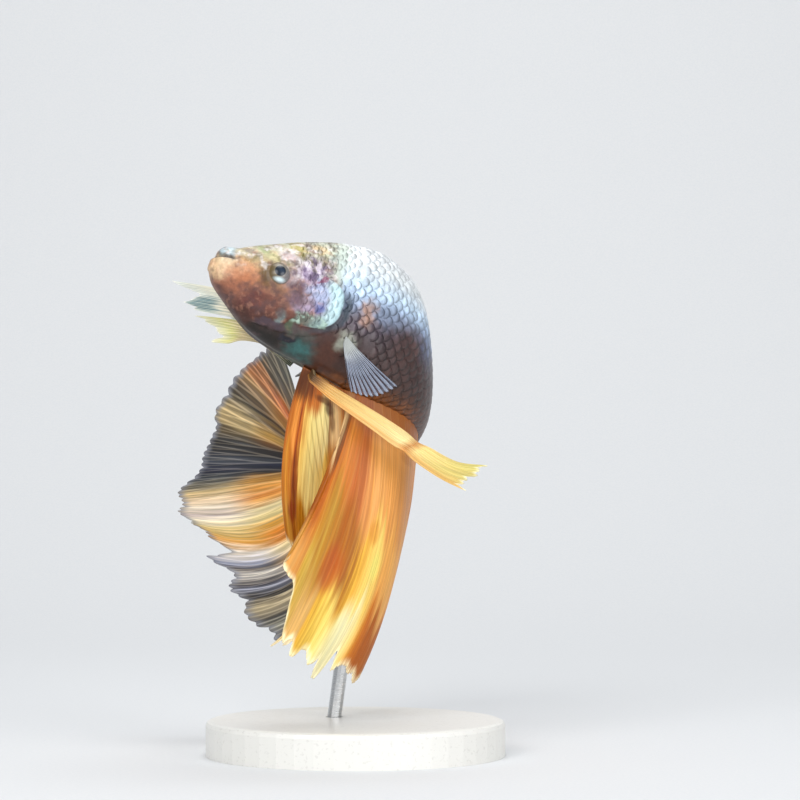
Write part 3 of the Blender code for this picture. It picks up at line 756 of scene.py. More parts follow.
class Wiring:
    """Adds nodes to one node tree. Each method returns a signal: what the node that it adds gives."""

    def __init__(self, tree, ends):
        self.tree = tree
        self.ends = ends

    def join(self, value, socket):
        if isinstance(value, Signal):
            self.tree.links.new(value.socket, socket)
        else:
            socket.default_value = value

    def feed(self, **values):
        """Sets the sockets of the shader, or of the group's output. Their names have _ for a space."""
        for label, value in values.items():
            self.join(value, self.ends[label.replace("_", " ")])

    def node(self, kind, sockets, **settings):
        made = self.tree.nodes.new(kind)
        for name, value in settings.items():
            setattr(made, name, value)
        for socket, value in sockets.items():
            self.join(value, made.inputs[socket])
        return made

    def add(self, kind, sockets, output=0, **settings):
        return Signal(self, self.node(kind, sockets, **settings).outputs[output])

    def add_all(self, kind, sockets, **settings):
        """Adds a node and returns a signal for each of its outputs."""
        return [Signal(self, socket) for socket in self.node(kind, sockets, **settings).outputs]

    def attribute(self, name):
        return self.add("ShaderNodeAttribute", {}, "Vector", attribute_name=name)

    def object_place(self):
        return self.add("ShaderNodeTexCoord", {}, "Object")

    def parts(self, vector):
        return self.add_all("ShaderNodeSeparateXYZ", {0: vector})

    def maths(self, operation, a, b=0.0):
        return self.add("ShaderNodeMath", {0: a, 1: b}, operation=operation)

    def vector(self, operation, a, b):
        return self.add("ShaderNodeVectorMath", {0: a, 1: b}, operation=operation)

    def length(self, vector):
        return self.add("ShaderNodeVectorMath", {0: vector}, "Value", operation="LENGTH")

    def mapped(self, vector, scale, shift=(0, 0, 0)):
        return self.add("ShaderNodeMapping", {"Vector": vector, "Location": shift, "Scale": scale})

    def noise(self, vector, scale, detail=2.0, rough=0.55, output="Fac"):
        sockets = {"Vector": vector, "Scale": scale, "Detail": detail, "Roughness": rough}
        return self.add("ShaderNodeTexNoise", sockets, output)

    def mix(self, share, a, b, blend="MIX"):
        """A colour between two others, which are signals, or tones as a painter reads them."""
        a, b = (paint(*side) if isinstance(side, tuple) else side for side in (a, b))
        return self.add("ShaderNodeMix", {0: share, 6: a, 7: b}, 2, data_type="RGBA", blend_type=blend)

    def layered(self, colour, *layers):
        """The colour with others laid over it in turn, each as strongly as its mask says."""
        for mask, tone in layers:
            colour = self.mix(mask, colour, tone)
        return colour

    def shaded(self, colour, light):
        """The colour made darker or lighter: 1 leaves it as it is."""
        grey = self.add("ShaderNodeCombineXYZ", {0: light, 1: light, 2: light})
        return self.mix(1.0, colour, grey, "MULTIPLY")

    def deeper(self, colour, power):
        """Richer, darker colours, to make up for the way that an even studio light pales them."""
        return self.add("ShaderNodeGamma", {0: colour, 1: power})

    def ramp(self, value, stops):
        """Colours that follow a value: each stop is a place, and its red, green and blue."""
        made = self.node("ShaderNodeValToRGB", {0: value})
        points = made.color_ramp.elements
        while len(points) < len(stops):
            points.new(0.5)
        for point, (place, *tone) in zip(points, stops):
            point.position = place
            point.color = paint(*tone)
        return Signal(self, made.outputs[0])

    def away(self, place, centre, half):
        """How far a place's first two coordinates are from a centre: 1 on an oval of these half sizes."""
        scale = (1 / half[0], 1 / half[1], 0)
        shift = (-centre[0] / half[0], -centre[1] / half[1], 0)
        return self.length(self.mapped(place, scale, shift))

    def bumped(self, value, strength, distance):
        return self.add("ShaderNodeBump", {"Strength": strength, "Distance": distance, "Height": value})


def new_group(name, inputs, outputs):
    """A shader node group with these sockets: its wiring, and a signal for each input."""
    tree = bpy.data.node_groups.new(name, "ShaderNodeTree")
    for way, sockets in (("INPUT", inputs), ("OUTPUT", outputs)):
        for label, kind in sockets.items():
            tree.interface.new_socket(label, in_out=way, socket_type="NodeSocket" + kind)
    wire = Wiring(tree, tree.nodes.new("NodeGroupOutput").inputs)
    given = tree.nodes.new("NodeGroupInput").outputs
    return wire, [Signal(wire, given[label]) for label in inputs]


def new_material(name, **values):
    """A material with these plain values on its shader, and its wiring."""
    made = bpy.data.materials.new(name)
    made.use_nodes = True
    wire = Wiring(made.node_tree, made.node_tree.nodes["Principled BSDF"].inputs)
    wire.feed(**values)
    return made, wire


FIN_DEPTH, BODY_DEPTH = 1.2, 1.16  # how much deeper the colours are laid on than they should look

# Colours up the body, from the belly at 0 to the back at 1: on the head, the trunk, and towards the tail.
HEAD_TONES = (
    (0.1, 52, 40, 32), (0.22, 64, 44, 36), (0.3, 92, 56, 46), (0.39, 130, 92, 80), (0.5, 184, 134, 106),
    (0.58, 204, 168, 132), (0.67, 196, 186, 154), (0.78, 192, 190, 164), (0.9, 206, 208, 192))
TRUNK_TONES = (
    (0.04, 120, 74, 40), (0.13, 80, 56, 48), (0.33, 82, 68, 72), (0.44, 104, 94, 106),
    (0.53, 152, 164, 188), (0.61, 196, 216, 240), (0.67, 212, 232, 250), (0.74, 228, 240, 250),
    (0.82, 242, 248, 250), (0.95, 248, 252, 255))
REAR_TONES = ((0.1, 96, 58, 42), (0.4, 84, 64, 66), (0.6, 124, 130, 158), (0.75, 168, 186, 216))

# Spots of colour on the body: (along, height), (half length, half height), softness, strength, colour.
# Some stand for light or shade, and are marked as painted where they stand.
SPOTS = (
    ((0.9, 2.5), (1.3, 0.8), 0.6, 0.95, (186, 204, 212)),
    # Painted shade just above the line of the mouth.
    ((1.0, 1.85), (0.9, 0.35), 0.8, 0.7, (122, 116, 98)),
    # The lower lip's cream, with a painted highlight along its top.
    ((1.8, 1.05), (2.0, 0.62), 0.8, 0.9, (242, 226, 194)),
    ((0.5, 0.1), (1.1, 1.2), 0.8, 0.8, (230, 204, 166)),
    ((3.2, 0.6), (2.0, 1.0), 0.9, 0.85, (206, 152, 116)),
    ((3.6, -0.4), (1.5, 0.8), 0.9, 0.8, (188, 126, 90)),
    ((2.8, -1.5), (1.6, 0.8), 0.9, 0.7, (168, 112, 84)),
    ((5.2, -2.2), (1.6, 1.3), 0.8, 0.9, (112, 66, 60)),
    ((7.2, -2.0), (1.6, 0.8), 0.9, 0.8, (122, 80, 68)),
    ((8.5, -1.8), (0.8, 0.45), 0.8, 0.8, (158, 114, 94)),
    ((9.6, -2.6), (0.8, 0.6), 0.8, 0.6, (130, 84, 72)),
    ((5.55, 1.0), (0.6, 1.5), 0.7, 0.85, (92, 72, 36)),
    ((6.9, 1.3), (1.5, 1.6), 0.5, 0.5, (132, 118, 98)),
    ((8.5, 1.5), (0.9, 1.6), 0.8, 0.75, (168, 156, 166)),
    ((7.4, -0.5), (1.2, 0.5), 0.8, 0.7, (128, 98, 84)),
    ((9.2, 0.4), (1.1, 0.8), 0.9, 0.85, (100, 74, 84)),
    ((9.3, -0.8), (1.2, 0.8), 0.9, 0.85, (112, 94, 112)),
    ((10.2, -1.7), (1.0, 0.6), 0.9, 0.7, (150, 128, 140)),
    ((10.5, 0.5), (0.8, 0.9), 0.9, 0.7, (152, 134, 150)),
    ((4.0, 2.7), (1.4, 0.7), 0.8, 0.6, (188, 172, 134)),
    ((3.2, 2.0), (0.8, 0.5), 0.8, 0.6, (206, 164, 116)),
    ((5.1, 3.8), (0.9, 0.6), 0.8, 0.75, (160, 170, 118)),
    ((6.1, 3.3), (0.7, 0.5), 0.8, 0.7, (218, 208, 164)),
    ((7.6, 3.8), (1.1, 0.7), 0.7, 0.8, (224, 210, 216)),
    ((8.4, 5.2), (1.0, 0.7), 0.6, 0.9, (190, 176, 96)),
    ((8.8, 4.4), (0.6, 0.4), 0.8, 0.8, (136, 126, 70)),
    ((9.9, 5.9), (0.6, 0.5), 0.8, 0.7, (152, 134, 122)),
    ((11.0, 5.9), (1.0, 0.6), 0.7, 0.8, (222, 196, 150)),
    ((12.7, 6.4), (1.4, 1.3), 0.9, 0.7, (214, 222, 204)),
    ((10.6, 2.8), (1.9, 1.8), 0.7, 0.85, (166, 152, 186)),
    ((11.9, 0.5), (1.7, 1.6), 0.8, 0.9, (182, 196, 228)),
    ((10.8, -1.6), (1.6, 0.6), 0.9, 0.7, (176, 164, 190)),
    ((13.2, 4.6), (0.8, 2.4), 1.0, 0.8, (208, 222, 216)),
    ((10.8, -0.6), (0.8, 0.8), 0.8, 0.6, (160, 142, 158)),
    ((12.2, -1.0), (1.1, 0.7), 0.9, 0.9, (98, 108, 166)),
    ((11.0, -4.3), (2.0, 0.6), 0.8, 0.75, (92, 96, 92)),
    ((9.8, -3.8), (0.5, 0.7), 0.8, 0.7, (92, 112, 88)),
    ((8.2, -3.5), (0.5, 0.75), 1.1, 0.75, (130, 150, 150)),
    ((7.6, -4.3), (1.9, 0.5), 0.7, 0.85, (84, 70, 80)),
    # Painted shadow under the edge of the throat's membrane.
    ((7.8, -5.7), (2.8, 0.85), 1.1, 0.92, (34, 30, 26)),
    ((4.5, -4.0), (1.6, 0.8), 0.9, 0.7, (82, 50, 42)),
    ((11.8, -6.0), (1.9, 1.0), 0.9, 0.95, (64, 108, 106)),
    # A thin line of painted shadow under the edge of the throat's membrane.
    ((9.8, -5.15), (1.1, 0.32), 0.6, 0.95, (24, 30, 44)),
    ((14.6, -5.4), (1.4, 2.3), 0.8, 0.85, (86, 50, 34)),
    ((17.0, 0.1), (0.75, 1.6), 0.8, 0.75, (190, 150, 126)),
    ((19.6, 0.4), (1.8, 1.5), 1.0, 0.6, (150, 162, 184)),
    ((22.6, -2.4), (2.9, 3.2), 0.9, 0.85, (92, 70, 66)),
    ((25.0, 0.5), (1.5, 3.0), 1.0, 0.5, (112, 134, 168)),
    # Painted shade in the gap behind the gill cover.
    ((14.8, -0.6), (0.35, 1.6), 0.7, 0.7, (54, 68, 80)),
    ((15.7, -3.9), (1.0, 1.1), 1.0, 0.7, (180, 186, 172)),
    ((21.5, -8.0), (6.5, 0.5), 0.9, 0.7, (146, 92, 44)),
    ((38.0, 4.6), (8.0, 2.8), 1.0, 0.5, (150, 162, 188)),
    ((47.0, 0.0), (4.0, 5.0), 1.0, 0.6, (128, 84, 54)),
)

# Blotches on the head: how fine, where in the noise, the noise values between which they fade in, their
# strength, the heights between which they fade in, and their colour.
MOTTLES = (
    (0.8, 3.1, (0.48, 0.68), 0.55, (-7.5, -6.2), (94, 74, 76)),
    (0.95, 9.3, (0.51, 0.7), 0.75, (0.4, 2.4), (238, 232, 230)),
    (1.1, 5.7, (0.5, 0.68), 0.65, (1.4, 3.0), (128, 120, 84)),
    (1.3, 7.9, (0.52, 0.72), 0.35, (-5.0, -3.0), (196, 146, 120)),
)
TONES_REACH = 9.0  # the height over and under the spine that the tones cover
HEAD_END, REAR_START = (12.4, 14.2), (26.0, 33.0)  # where one range of tones gives way to the next


def markings():
    """The body's colours, shared by the skin and the scales: they read the place along and up the body."""
    wire, (place, folded, point) = new_group(
        "fish_markings", {"Place": "Vector", "Folds": "Vector", "Point": "Vector"},
        {"Colour": "Color", "Pearl": "Float", "Mottle": "Float"})
    drift = wire.vector("SUBTRACT", wire.noise(point, 0.8, 2.0, 0.5, "Color"), (0.5, 0.5, 0.5))
    wavy = wire.vector("ADD", place, wire.vector("MULTIPLY", drift, (2.0, 1.8, 0)))
    along, up, _ = wire.parts(wavy)
    true_along, true_up, _ = wire.parts(place)
    level = (up + TONES_REACH) / (2 * TONES_REACH)
    head, trunk, rear = (wire.ramp(level, tones) for tones in (HEAD_TONES, TRUNK_TONES, REAR_TONES))
    colour = wire.layered(head, (along.step(*HEAD_END), trunk), (along.step(*REAR_START), rear))
    for centre, half, soft, strength, tone in SPOTS:
        spot = wire.away(wavy, centre, half).step(1 + 0.6 * soft, 1 - 0.75 * soft, 0.0, strength)
        colour = wire.mix(spot, colour, tone)
    cover, _, mouth = wire.parts(folded)
    on_head = true_along.step(13.6, 12.2)
    for fineness, seed, (low, high), strength, (fade_in, full), tone in MOTTLES:
        grains = wire.noise(wire.mapped(point, (1, 1, 1), (seed, seed * 0.6, 0)), fineness, 2.0, 0.5)
        blotch = grains.step(low, high, 0.0, strength) * on_head * true_up.step(fade_in, full)
        colour = wire.mix(blotch, colour, tone)
    # The gill cover's pearly rim and painted shade in the slit behind it, the scalloped hem below it, painted
    # shade along the line of the mouth, the patches on the cheek, and the plum streak behind the eye.
    rearward = true_along.step(10.6, 12.8)
    rim = cover.step(-1.5, -0.7) * cover.step(0.1, -0.1) * rearward * true_up.step(3.0, 1.6)
    # The slit's dark colour is painted shade in the gap behind the gill cover.
    slit = cover.step(-0.1, 0.15) * cover.step(0.8, 0.3) * rearward * true_up.step(3.2, 0.8)
    hem = true_up.step(-1.7, -2.3) * true_up.step(-3.5, -3.1) * abs(along - 11.4).step(2.2, 1.4)
    scallops = wire.noise(wire.mapped(point, (1, 1, 1), (4, 2, 0)), 1.3, 2.0, 0.5).step(0.45, 0.6)
    # The mouth's dark line is painted shade in its cleft.
    mouth_shade = abs(mouth).step(0.22, 0.02) * true_along.step(2.3, 1.7)
    cheek = wire.away(wavy, (10.6, 2.6), (2.3, 2.2)).step(1.2, 0.6)
    patch = wire.noise(wire.mapped(point, (1.4, 1.4, 0.9), (1, 7, 0)), 1.1)
    ahead, over, _ = wire.parts(wire.vector("SUBTRACT", place, (11.8, 2.2, 0.0)))
    streak = abs(ahead - over) * 2.4 + abs(ahead + over) * 0.75
    streak = streak + wire.noise(point, 2.0).step(0.3, 0.7, -0.4, 0.4)
    colour = wire.layered(
        colour, (rim * 0.88, (204, 234, 240)), (slit * 0.6, (60, 76, 88)), (hem * 0.65, (104, 122, 112)),
        (hem * scallops * 0.75, (184, 208, 194)), (mouth_shade * 0.7, (104, 96, 84)),
        (cheek * patch.step(0.5, 0.62) * 0.7, (104, 86, 118)),
        (cheek * patch.step(0.47, 0.36) * 0.7, (232, 222, 234)),
        (streak.step(1.5, 0.6, 0.0, 0.8), (148, 86, 112)))
    grain = wire.noise(point, 1.7, 3.0, 0.6) * 0.85 + wire.noise(point, 7.0, 2.0, 0.6) * 0.2
    mottle = grain.step(0.25, 0.85, 0.74, 1.15)
    wire.feed(Colour=wire.deeper(wire.shaded(colour, mottle), BODY_DEPTH), Mottle=mottle,
              Pearl=wire.maths("MAXIMUM", up.step(2.2, 5.0) * along.step(11, 15), rim))
    return wire.tree


def painted(wire, group):
    """The body's place, and the markings fed with it and with the piece's own attributes."""
    place = wire.attribute("body_place")
    point = wire.mapped(wire.object_place(), (1 / METRES, 1 / METRES, 1 / METRES))
    sockets = {"Place": place, "Folds": wire.attribute("body_folds"), "Point": point}
    return place, *wire.add_all("ShaderNodeGroup", sockets, node_tree=group)


def skin_material(group):
    made, wire = new_material("fish_skin", Coat_Weight=0.12, Coat_Roughness=0.25, Specular_IOR_Level=0.3)
    place, colour, _, mottle = painted(wire, group)
    sockets = {"Vector": wire.mapped(place, (1, 1, 0)), "Scale": 3.4}
    pores = wire.add("ShaderNodeTexVoronoi", sockets, "Distance")
    wire.feed(Base_Color=colour, Roughness=mottle.step(0.7, 1.2, 0.46, 0.3),
              Normal=wire.bumped(pores, 0.25, 0.00006))
    return made


def scale_material(group):
    """The markings, with a darker margin to each scale, partly a dark edge of its own and partly painted
    shade where the scales overlap, a painted gleam inside it, and fine growth lines.
    """
    made, wire = new_material("fish_scales", Coat_Weight=0.16, Coat_Roughness=0.25, Specular_IOR_Level=0.35)
    place, colour, pearl, _ = painted(wire, group)
    along = wire.parts(place)[0]
    own_place = wire.attribute("scale_place")
    x, _, tint = wire.parts(own_place)
    ring = wire.length(wire.mapped(own_place, (2, 2, 0), (-1, 0, 0)))
    # How strongly each scale's edge darkens varies in patches.
    patchy = wire.noise(place, 0.9).step(0.35, 0.6, 0.35, 1.0)
    depth = pearl.step(0.0, 0.8, 1.0, 0.2) * along.step(12.0, 14.5, 0.3, 1.0)
    # The margin darkens each scale's tip edge: partly its own dark edge and partly painted shade where scales
    # overlap.
    margin = ring.step(0.74, 0.93) * x.step(0.6, 0.85) * depth * patchy
    # A painted highlight just inside the margin.
    gleam = ring.step(0.82, 0.62) * x.step(0.55, 0.75) * depth * tint.step(0.2, 1.0)
    light = tint.step(0.0, 1.0, 0.88, 1.08) * (1.0 - margin * 0.42) * (gleam * 0.3 + 1.0)
    wire.feed(Base_Color=wire.shaded(colour, light), Roughness=pearl.step(0.0, 1.0, 0.38, 0.28),
              Metallic=pearl.step(0.0, 1.0, 0.0, 0.1),
              Normal=wire.bumped(wire.maths("SINE", x * 60.0), 0.12, 0.00003))
    return made


def eye_material():
    """A blue-black pupil in a faint gold ring, and an olive iris, greyer to the rear, with a painted
    highlight as a pale crescent at its foot.
    """
    made, wire = new_material("eye_glass", Roughness=0.32, Coat_Weight=0.12, Coat_Roughness=0.12)
    place = wire.attribute("eye_place")
    x, y, _ = wire.parts(place)
    ring = wire.length(wire.mapped(place, (1, 1, 0)))
    look = wire.length(wire.mapped(place, (1, 1, 0), (-0.1, -0.16, 0)))
    fibres = wire.noise(wire.mapped(place, (5, 5, 5)), 3.0, 3.0, 0.7)
    front = x.step(-0.35, 0.4)
    iris = wire.layered(
        wire.mix(front, (128, 124, 126), (98, 82, 52)), (fibres.step(0.35, 0.65, 0.0, 0.4), (78, 70, 54)),
        (y.step(0.1, 0.5, 0.0, 0.5), (104, 100, 88)),
        # A painted highlight: the pale crescent low on the eye.
        (wire.away(place, (0.0, -0.42), (0.32, 0.14)).step(1.8, 0.2), (204, 224, 228)),
        (ring.step(0.56, 0.72, 0.0, 0.7), wire.mix(front, (140, 128, 120), (96, 78, 46))),
        (look.step(0.34, 0.38) * look.step(0.45, 0.4) * 0.25, (150, 142, 118)))
    # A painted lighter glow inside the pupil.
    glow = wire.away(place, (0.0, 0.2), (0.2, 0.16)).step(1.6, 0.4, 0.0, 0.6)
    wire.feed(Base_Color=wire.mix(look.step(0.41, 0.33), iris, wire.mix(glow, (10, 24, 40), (42, 58, 78))))
    return made


def silk():
    """Streaks that run out along a fin, fine and broad, and crisp lines on its rays: all from 0 to 1."""
    wire, (place, across, along, rays, splits, width) = new_group(
        "fin_streaks", {"Place": "Vector", "Across": "Float", "Along": "Float", "Rays": "Float",
                        "Splits": "Float", "Width": "Float"},
        {"Fine": "Float", "Broad": "Float", "Lines": "Float"})
    u, v, _ = wire.parts(place)
    stretched = wire.add("ShaderNodeCombineXYZ", {0: u * across, 1: v * along})
    fine = wire.noise(stretched, 1.0, 3.0, 0.65)
    broad = wire.noise(wire.mapped(stretched, (0.2, 0.4, 1), (3.7, 1.3, 0)), 1.0, 2.0, 0.5)
    counted = u * rays
    part = abs(counted - wire.maths("ROUND", counted))
    for low, high, aside in ((0.02, 0.4, 0.25), (0.25, 0.75, 0.125), (0.55, 1.0, 0.0625)):
        part = abs(part - v.step(low, high, 0.0, aside) * splits)
    lines = 1.0 - part / (v.step(0.0, 1.0, 0.1, 0.032) * width)
    wire.feed(Fine=fine.step(0.3, 0.7), Broad=broad.step(0.32, 0.68), Lines=lines.step(0.0, 0.7))
    return wire.tree


class FinPaint:
    """What a fin's colours are mixed from: its place, the streaks, and the lines of its rays."""

    def __init__(self, wire, streaks, across, along, rays, splits=1.0, width=1.0):
        self.wire = wire
        self.place = wire.attribute("fin_place")
        self.u, self.v, _ = wire.parts(self.place)
        sockets = {"Place": self.place, "Across": across, "Along": along, "Rays": rays, "Splits": splits,
                   "Width": width}
        self.fine, self.broad, self.lines = wire.add_all("ShaderNodeGroup", sockets, node_tree=streaks)

    def wavy_u(self, width):
        """The place across the fin, pushed aside by the streaks, so that bands have feathered edges."""
        return self.u + (self.fine - 0.5) * width + (self.broad - 0.5) * width

    def patch(self, colour, centre, half, tone, strength):
        feathered = self.wire.away(self.place, centre, half) + self.fine * 0.35
        return self.wire.mix(feathered.step(1.5, 0.7, 0.0, strength), colour, tone)


# Colours across the front curtain, by the place along the body where each ray starts: near the body,
# halfway out, and near the tips. The cream from about 15 to 16.2 near the body and halfway out is laid on
# paler still: painted light against the shadow that falls there.
ANAL_NEAR = (
    (13.2, 190, 112, 40), (13.6, 208, 128, 40), (13.9, 244, 170, 84), (14.1, 200, 112, 30),
    (14.25, 136, 54, 6), (14.4, 190, 98, 26), (14.6, 214, 136, 50), (14.85, 252, 216, 126),
    (15.4, 255, 238, 162), (16.2, 255, 238, 170), (16.9, 250, 234, 172), (17.15, 150, 104, 56),
    (17.4, 238, 206, 150), (18.0, 234, 200, 148), (18.4, 214, 160, 92), (18.7, 176, 110, 44),
    (19.1, 186, 120, 54), (19.4, 230, 194, 140), (20.0, 236, 202, 148), (20.3, 124, 72, 20),
    (20.6, 202, 123, 41), (21.1, 219, 144, 56), (21.6, 208, 131, 51), (22.1, 198, 115, 47),
    (22.5, 194, 117, 53), (23.0, 222, 158, 84), (23.6, 230, 170, 96), (25.0, 226, 164, 88),
    (27.0, 216, 156, 88), (29.0, 210, 152, 92), (31.8, 214, 150, 90))
ANAL_MIDDLE = (
    (13.2, 190, 117, 26), (13.7, 220, 153, 48), (14.0, 184, 101, 10), (14.2, 129, 56, 0),
    (14.45, 180, 103, 12), (14.7, 248, 208, 112), (15.3, 255, 240, 164), (16.2, 252, 228, 146),
    (16.9, 234, 193, 96), (17.3, 197, 123, 24), (18.0, 203, 130, 27), (18.6, 188, 123, 29),
    (19.1, 201, 128, 25), (19.6, 186, 112, 18), (20.1, 182, 101, 10), (20.5, 201, 117, 17),
    (20.9, 194, 137, 40), (21.3, 189, 152, 60), (21.6, 188, 130, 32), (22.1, 179, 106, 18),
    (22.8, 179, 117, 25), (23.2, 222, 171, 52), (23.6, 237, 186, 76), (24.2, 240, 204, 108),
    (24.8, 240, 216, 124), (25.4, 234, 202, 110), (26.0, 234, 178, 96), (27.0, 230, 172, 92),
    (28.0, 232, 180, 106), (29.5, 226, 166, 100), (31.8, 209, 159, 79))
ANAL_FAR = (
    (13.2, 190, 121, 32), (13.6, 226, 171, 76), (14.0, 160, 85, 6), (14.4, 200, 135, 38),
    (15.0, 200, 141, 36), (16.0, 200, 145, 42), (16.8, 199, 159, 64), (17.4, 202, 147, 46),
    (18.2, 206, 143, 42), (19.0, 198, 133, 30), (19.3, 200, 161, 52), (19.7, 206, 149, 52),
    (20.1, 226, 172, 100), (20.5, 214, 150, 72), (20.9, 201, 169, 68), (21.3, 216, 174, 104),
    (21.8, 222, 180, 112), (22.1, 220, 171, 56), (22.5, 227, 191, 84), (22.8, 250, 222, 124),
    (23.3, 236, 224, 164), (24.0, 230, 226, 184), (24.8, 238, 226, 176), (25.3, 246, 224, 152),
    (25.8, 242, 193, 106), (26.2, 220, 151, 52), (26.8, 194, 115, 26), (27.5, 178, 99, 14),
    (28.5, 180, 105, 20), (30.0, 190, 115, 30), (31.8, 200, 131, 46))
# Small patches on the front curtain: where the ray starts, how far out, half sizes, colour and strength.
ANAL_PATCHES = (
    (15.2, 0.08, (0.06, 0.11), (212, 124, 44), 0.95), (13.9, 0.04, (0.08, 0.1), (96, 52, 24), 0.8),
    # The dark patches at 16.4, 17.05 and 17.35 are painted shadow in a gap near the root.
    (16.4, 0.085, (0.055, 0.022), (104, 58, 26), 0.7), (17.05, 0.12, (0.028, 0.04), (84, 44, 18), 0.75),
    (17.35, 0.19, (0.014, 0.06), (110, 66, 32), 0.65), (14.1, 0.79, (0.02, 0.07), (150, 64, 16), 0.8),
    # The patch at 22.1 is a fold's painted shadow.
    (18.8, 0.24, (0.018, 0.06), (136, 84, 24), 0.7), (22.1, 0.64, (0.03, 0.1), (190, 98, 32), 0.7),
    (28.2, 0.13, (0.08, 0.02), (170, 112, 54), 0.4), (24.0, 0.43, (0.03, 0.05), (216, 142, 38), 0.6),
    (25.0, 0.56, (0.03, 0.06), (232, 226, 128), 0.6))


def anal_front_colour(fin_paint):
    wire, v = fin_paint.wire, fin_paint.v
    across = fin_paint.wavy_u(0.014)
    near, middle, far = (wire.ramp(across, tuple((anal_u(s), *tone) for s, *tone in bands))
                         for bands in (ANAL_NEAR, ANAL_MIDDLE, ANAL_FAR))
    outward = v + (fin_paint.broad - 0.5) * 0.16
    # Painted shade in the creases near the curtain's front, as fine dark diagonal lines.
    crease_shade = wire.maths("SINE", fin_paint.u * 220.0 - v * 42.0).step(0.35, 0.95)
    creased = wire.away(fin_paint.place, (anal_u(16.2), 0.32), (0.07, 0.26)).step(1.1, 0.6, 0.0, 0.35)
    colour = wire.layered(near, (outward.step(0.34, 0.48), middle), (outward.step(0.66, 0.82), far),
                          (v.step(0.13, 0.04, 0.0, 0.8), (156, 92, 40)), (crease_shade * creased, (158, 128, 52)))
    for s, out, half, tone, strength in ANAL_PATCHES:
        colour = fin_paint.patch(colour, (anal_u(s), out), half, tone, strength)
    return colour


def anal_rear_colour(fin_paint):
    return fin_paint.wire.ramp(fin_paint.wavy_u(0.08), (
        (0.0, 226, 155, 68), (0.2, 206, 127, 42), (0.4, 238, 185, 90), (0.6, 214, 137, 50),
        (0.8, 240, 202, 118), (1.0, 246, 223, 157)))


TAIL_NEAR = (
    (0.0, 150, 130, 100), (0.05, 130, 104, 66), (0.085, 246, 132, 40), (0.12, 216, 158, 70),
    (0.145, 84, 62, 40), (0.19, 226, 182, 98), (0.215, 150, 106, 52), (0.25, 62, 48, 34),
    (0.29, 50, 42, 38), (0.325, 82, 88, 98), (0.355, 28, 38, 72), (0.385, 70, 66, 60), (0.41, 164, 124, 64),
    (0.44, 214, 162, 78), (0.47, 246, 182, 94), (0.495, 242, 162, 76), (0.515, 250, 186, 100),
    (0.54, 255, 238, 190), (0.585, 255, 234, 170), (0.62, 240, 182, 74), (0.66, 248, 160, 44),
    (0.69, 228, 150, 54), (0.715, 248, 228, 178), (0.75, 236, 216, 178), (0.79, 206, 156, 92),
    (0.82, 246, 232, 208), (0.85, 206, 184, 172), (0.875, 60, 42, 22), (0.9, 226, 194, 122),
    (0.94, 214, 186, 120), (0.97, 150, 126, 80), (1.0, 226, 198, 130))
TAIL_FAR = (
    (0.0, 120, 120, 108), (0.05, 110, 100, 82), (0.09, 224, 146, 76), (0.12, 190, 152, 100),
    (0.145, 76, 70, 58), (0.19, 232, 206, 150), (0.215, 130, 112, 78), (0.25, 62, 58, 52),
    (0.29, 54, 52, 52), (0.325, 66, 76, 92), (0.36, 32, 42, 76), (0.39, 66, 74, 82), (0.42, 150, 142, 120),
    (0.45, 226, 200, 148), (0.485, 248, 222, 186), (0.51, 246, 232, 208), (0.545, 218, 202, 196),
    (0.57, 252, 240, 212), (0.6, 242, 220, 160), (0.65, 240, 200, 112), (0.685, 234, 174, 78),
    (0.71, 250, 240, 226), (0.745, 190, 198, 224), (0.775, 96, 86, 82), (0.81, 232, 226, 216),
    (0.835, 76, 70, 76), (0.855, 176, 182, 204), (0.88, 50, 42, 38), (0.905, 216, 200, 164),
    (0.935, 78, 76, 72), (0.965, 190, 188, 170), (1.0, 104, 98, 86))


def tail_colour(fin_paint):
    across = fin_paint.wavy_u(0.016)
    near, far = (fin_paint.wire.ramp(across, bands) for bands in (TAIL_NEAR, TAIL_FAR))
    return fin_paint.wire.mix(fin_paint.v.step(0.42, 0.7), near, far)


def left_pelvic_colour(fin_paint):
    # The darker stop at 0.61 is painted shadow where the fin folds over at its kink.
    colour = fin_paint.wire.ramp(fin_paint.v, (
        (0.0, 96, 66, 38), (0.05, 150, 108, 62), (0.14, 226, 180, 108), (0.3, 238, 208, 138),
        (0.56, 246, 232, 176), (0.61, 196, 142, 82), (0.66, 240, 218, 152), (0.84, 226, 214, 134),
        (1.0, 216, 210, 130)))
    # The orange band along one edge is painted shade.
    return fin_paint.wire.mix(fin_paint.wavy_u(0.1).step(0.6, 0.9, 0.0, 0.5), colour, (234, 168, 88))


def right_pelvic_colour(fin_paint):
    wire, v = fin_paint.wire, fin_paint.v
    root = ((0.0, 96, 104, 88), (0.3, 150, 140, 110))
    upper = wire.ramp(v, (*root, (0.45, 226, 212, 176), (0.8, 242, 240, 222), (1.0, 226, 232, 226)))
    upper = fin_paint.patch(upper, (0.68, 0.92), (0.15, 0.09), (92, 138, 150), 0.95)
    lower = wire.ramp(v, (*root, (0.45, 226, 206, 164), (0.7, 240, 220, 170), (0.86, 232, 228, 140),
                          (1.0, 240, 238, 206)))
    return wire.mix(fin_paint.wavy_u(0.1).step(0.46, 0.52), lower, upper)


def clear_colour(fin_paint):
    colour = fin_paint.wire.mix(fin_paint.fine, (116, 130, 156), (72, 82, 108))
    # Paler towards the root: a painted highlight at the base of the fin.
    return fin_paint.wire.mix(fin_paint.v.step(0.45, 0.1, 0.0, 0.7), colour, (206, 208, 198))


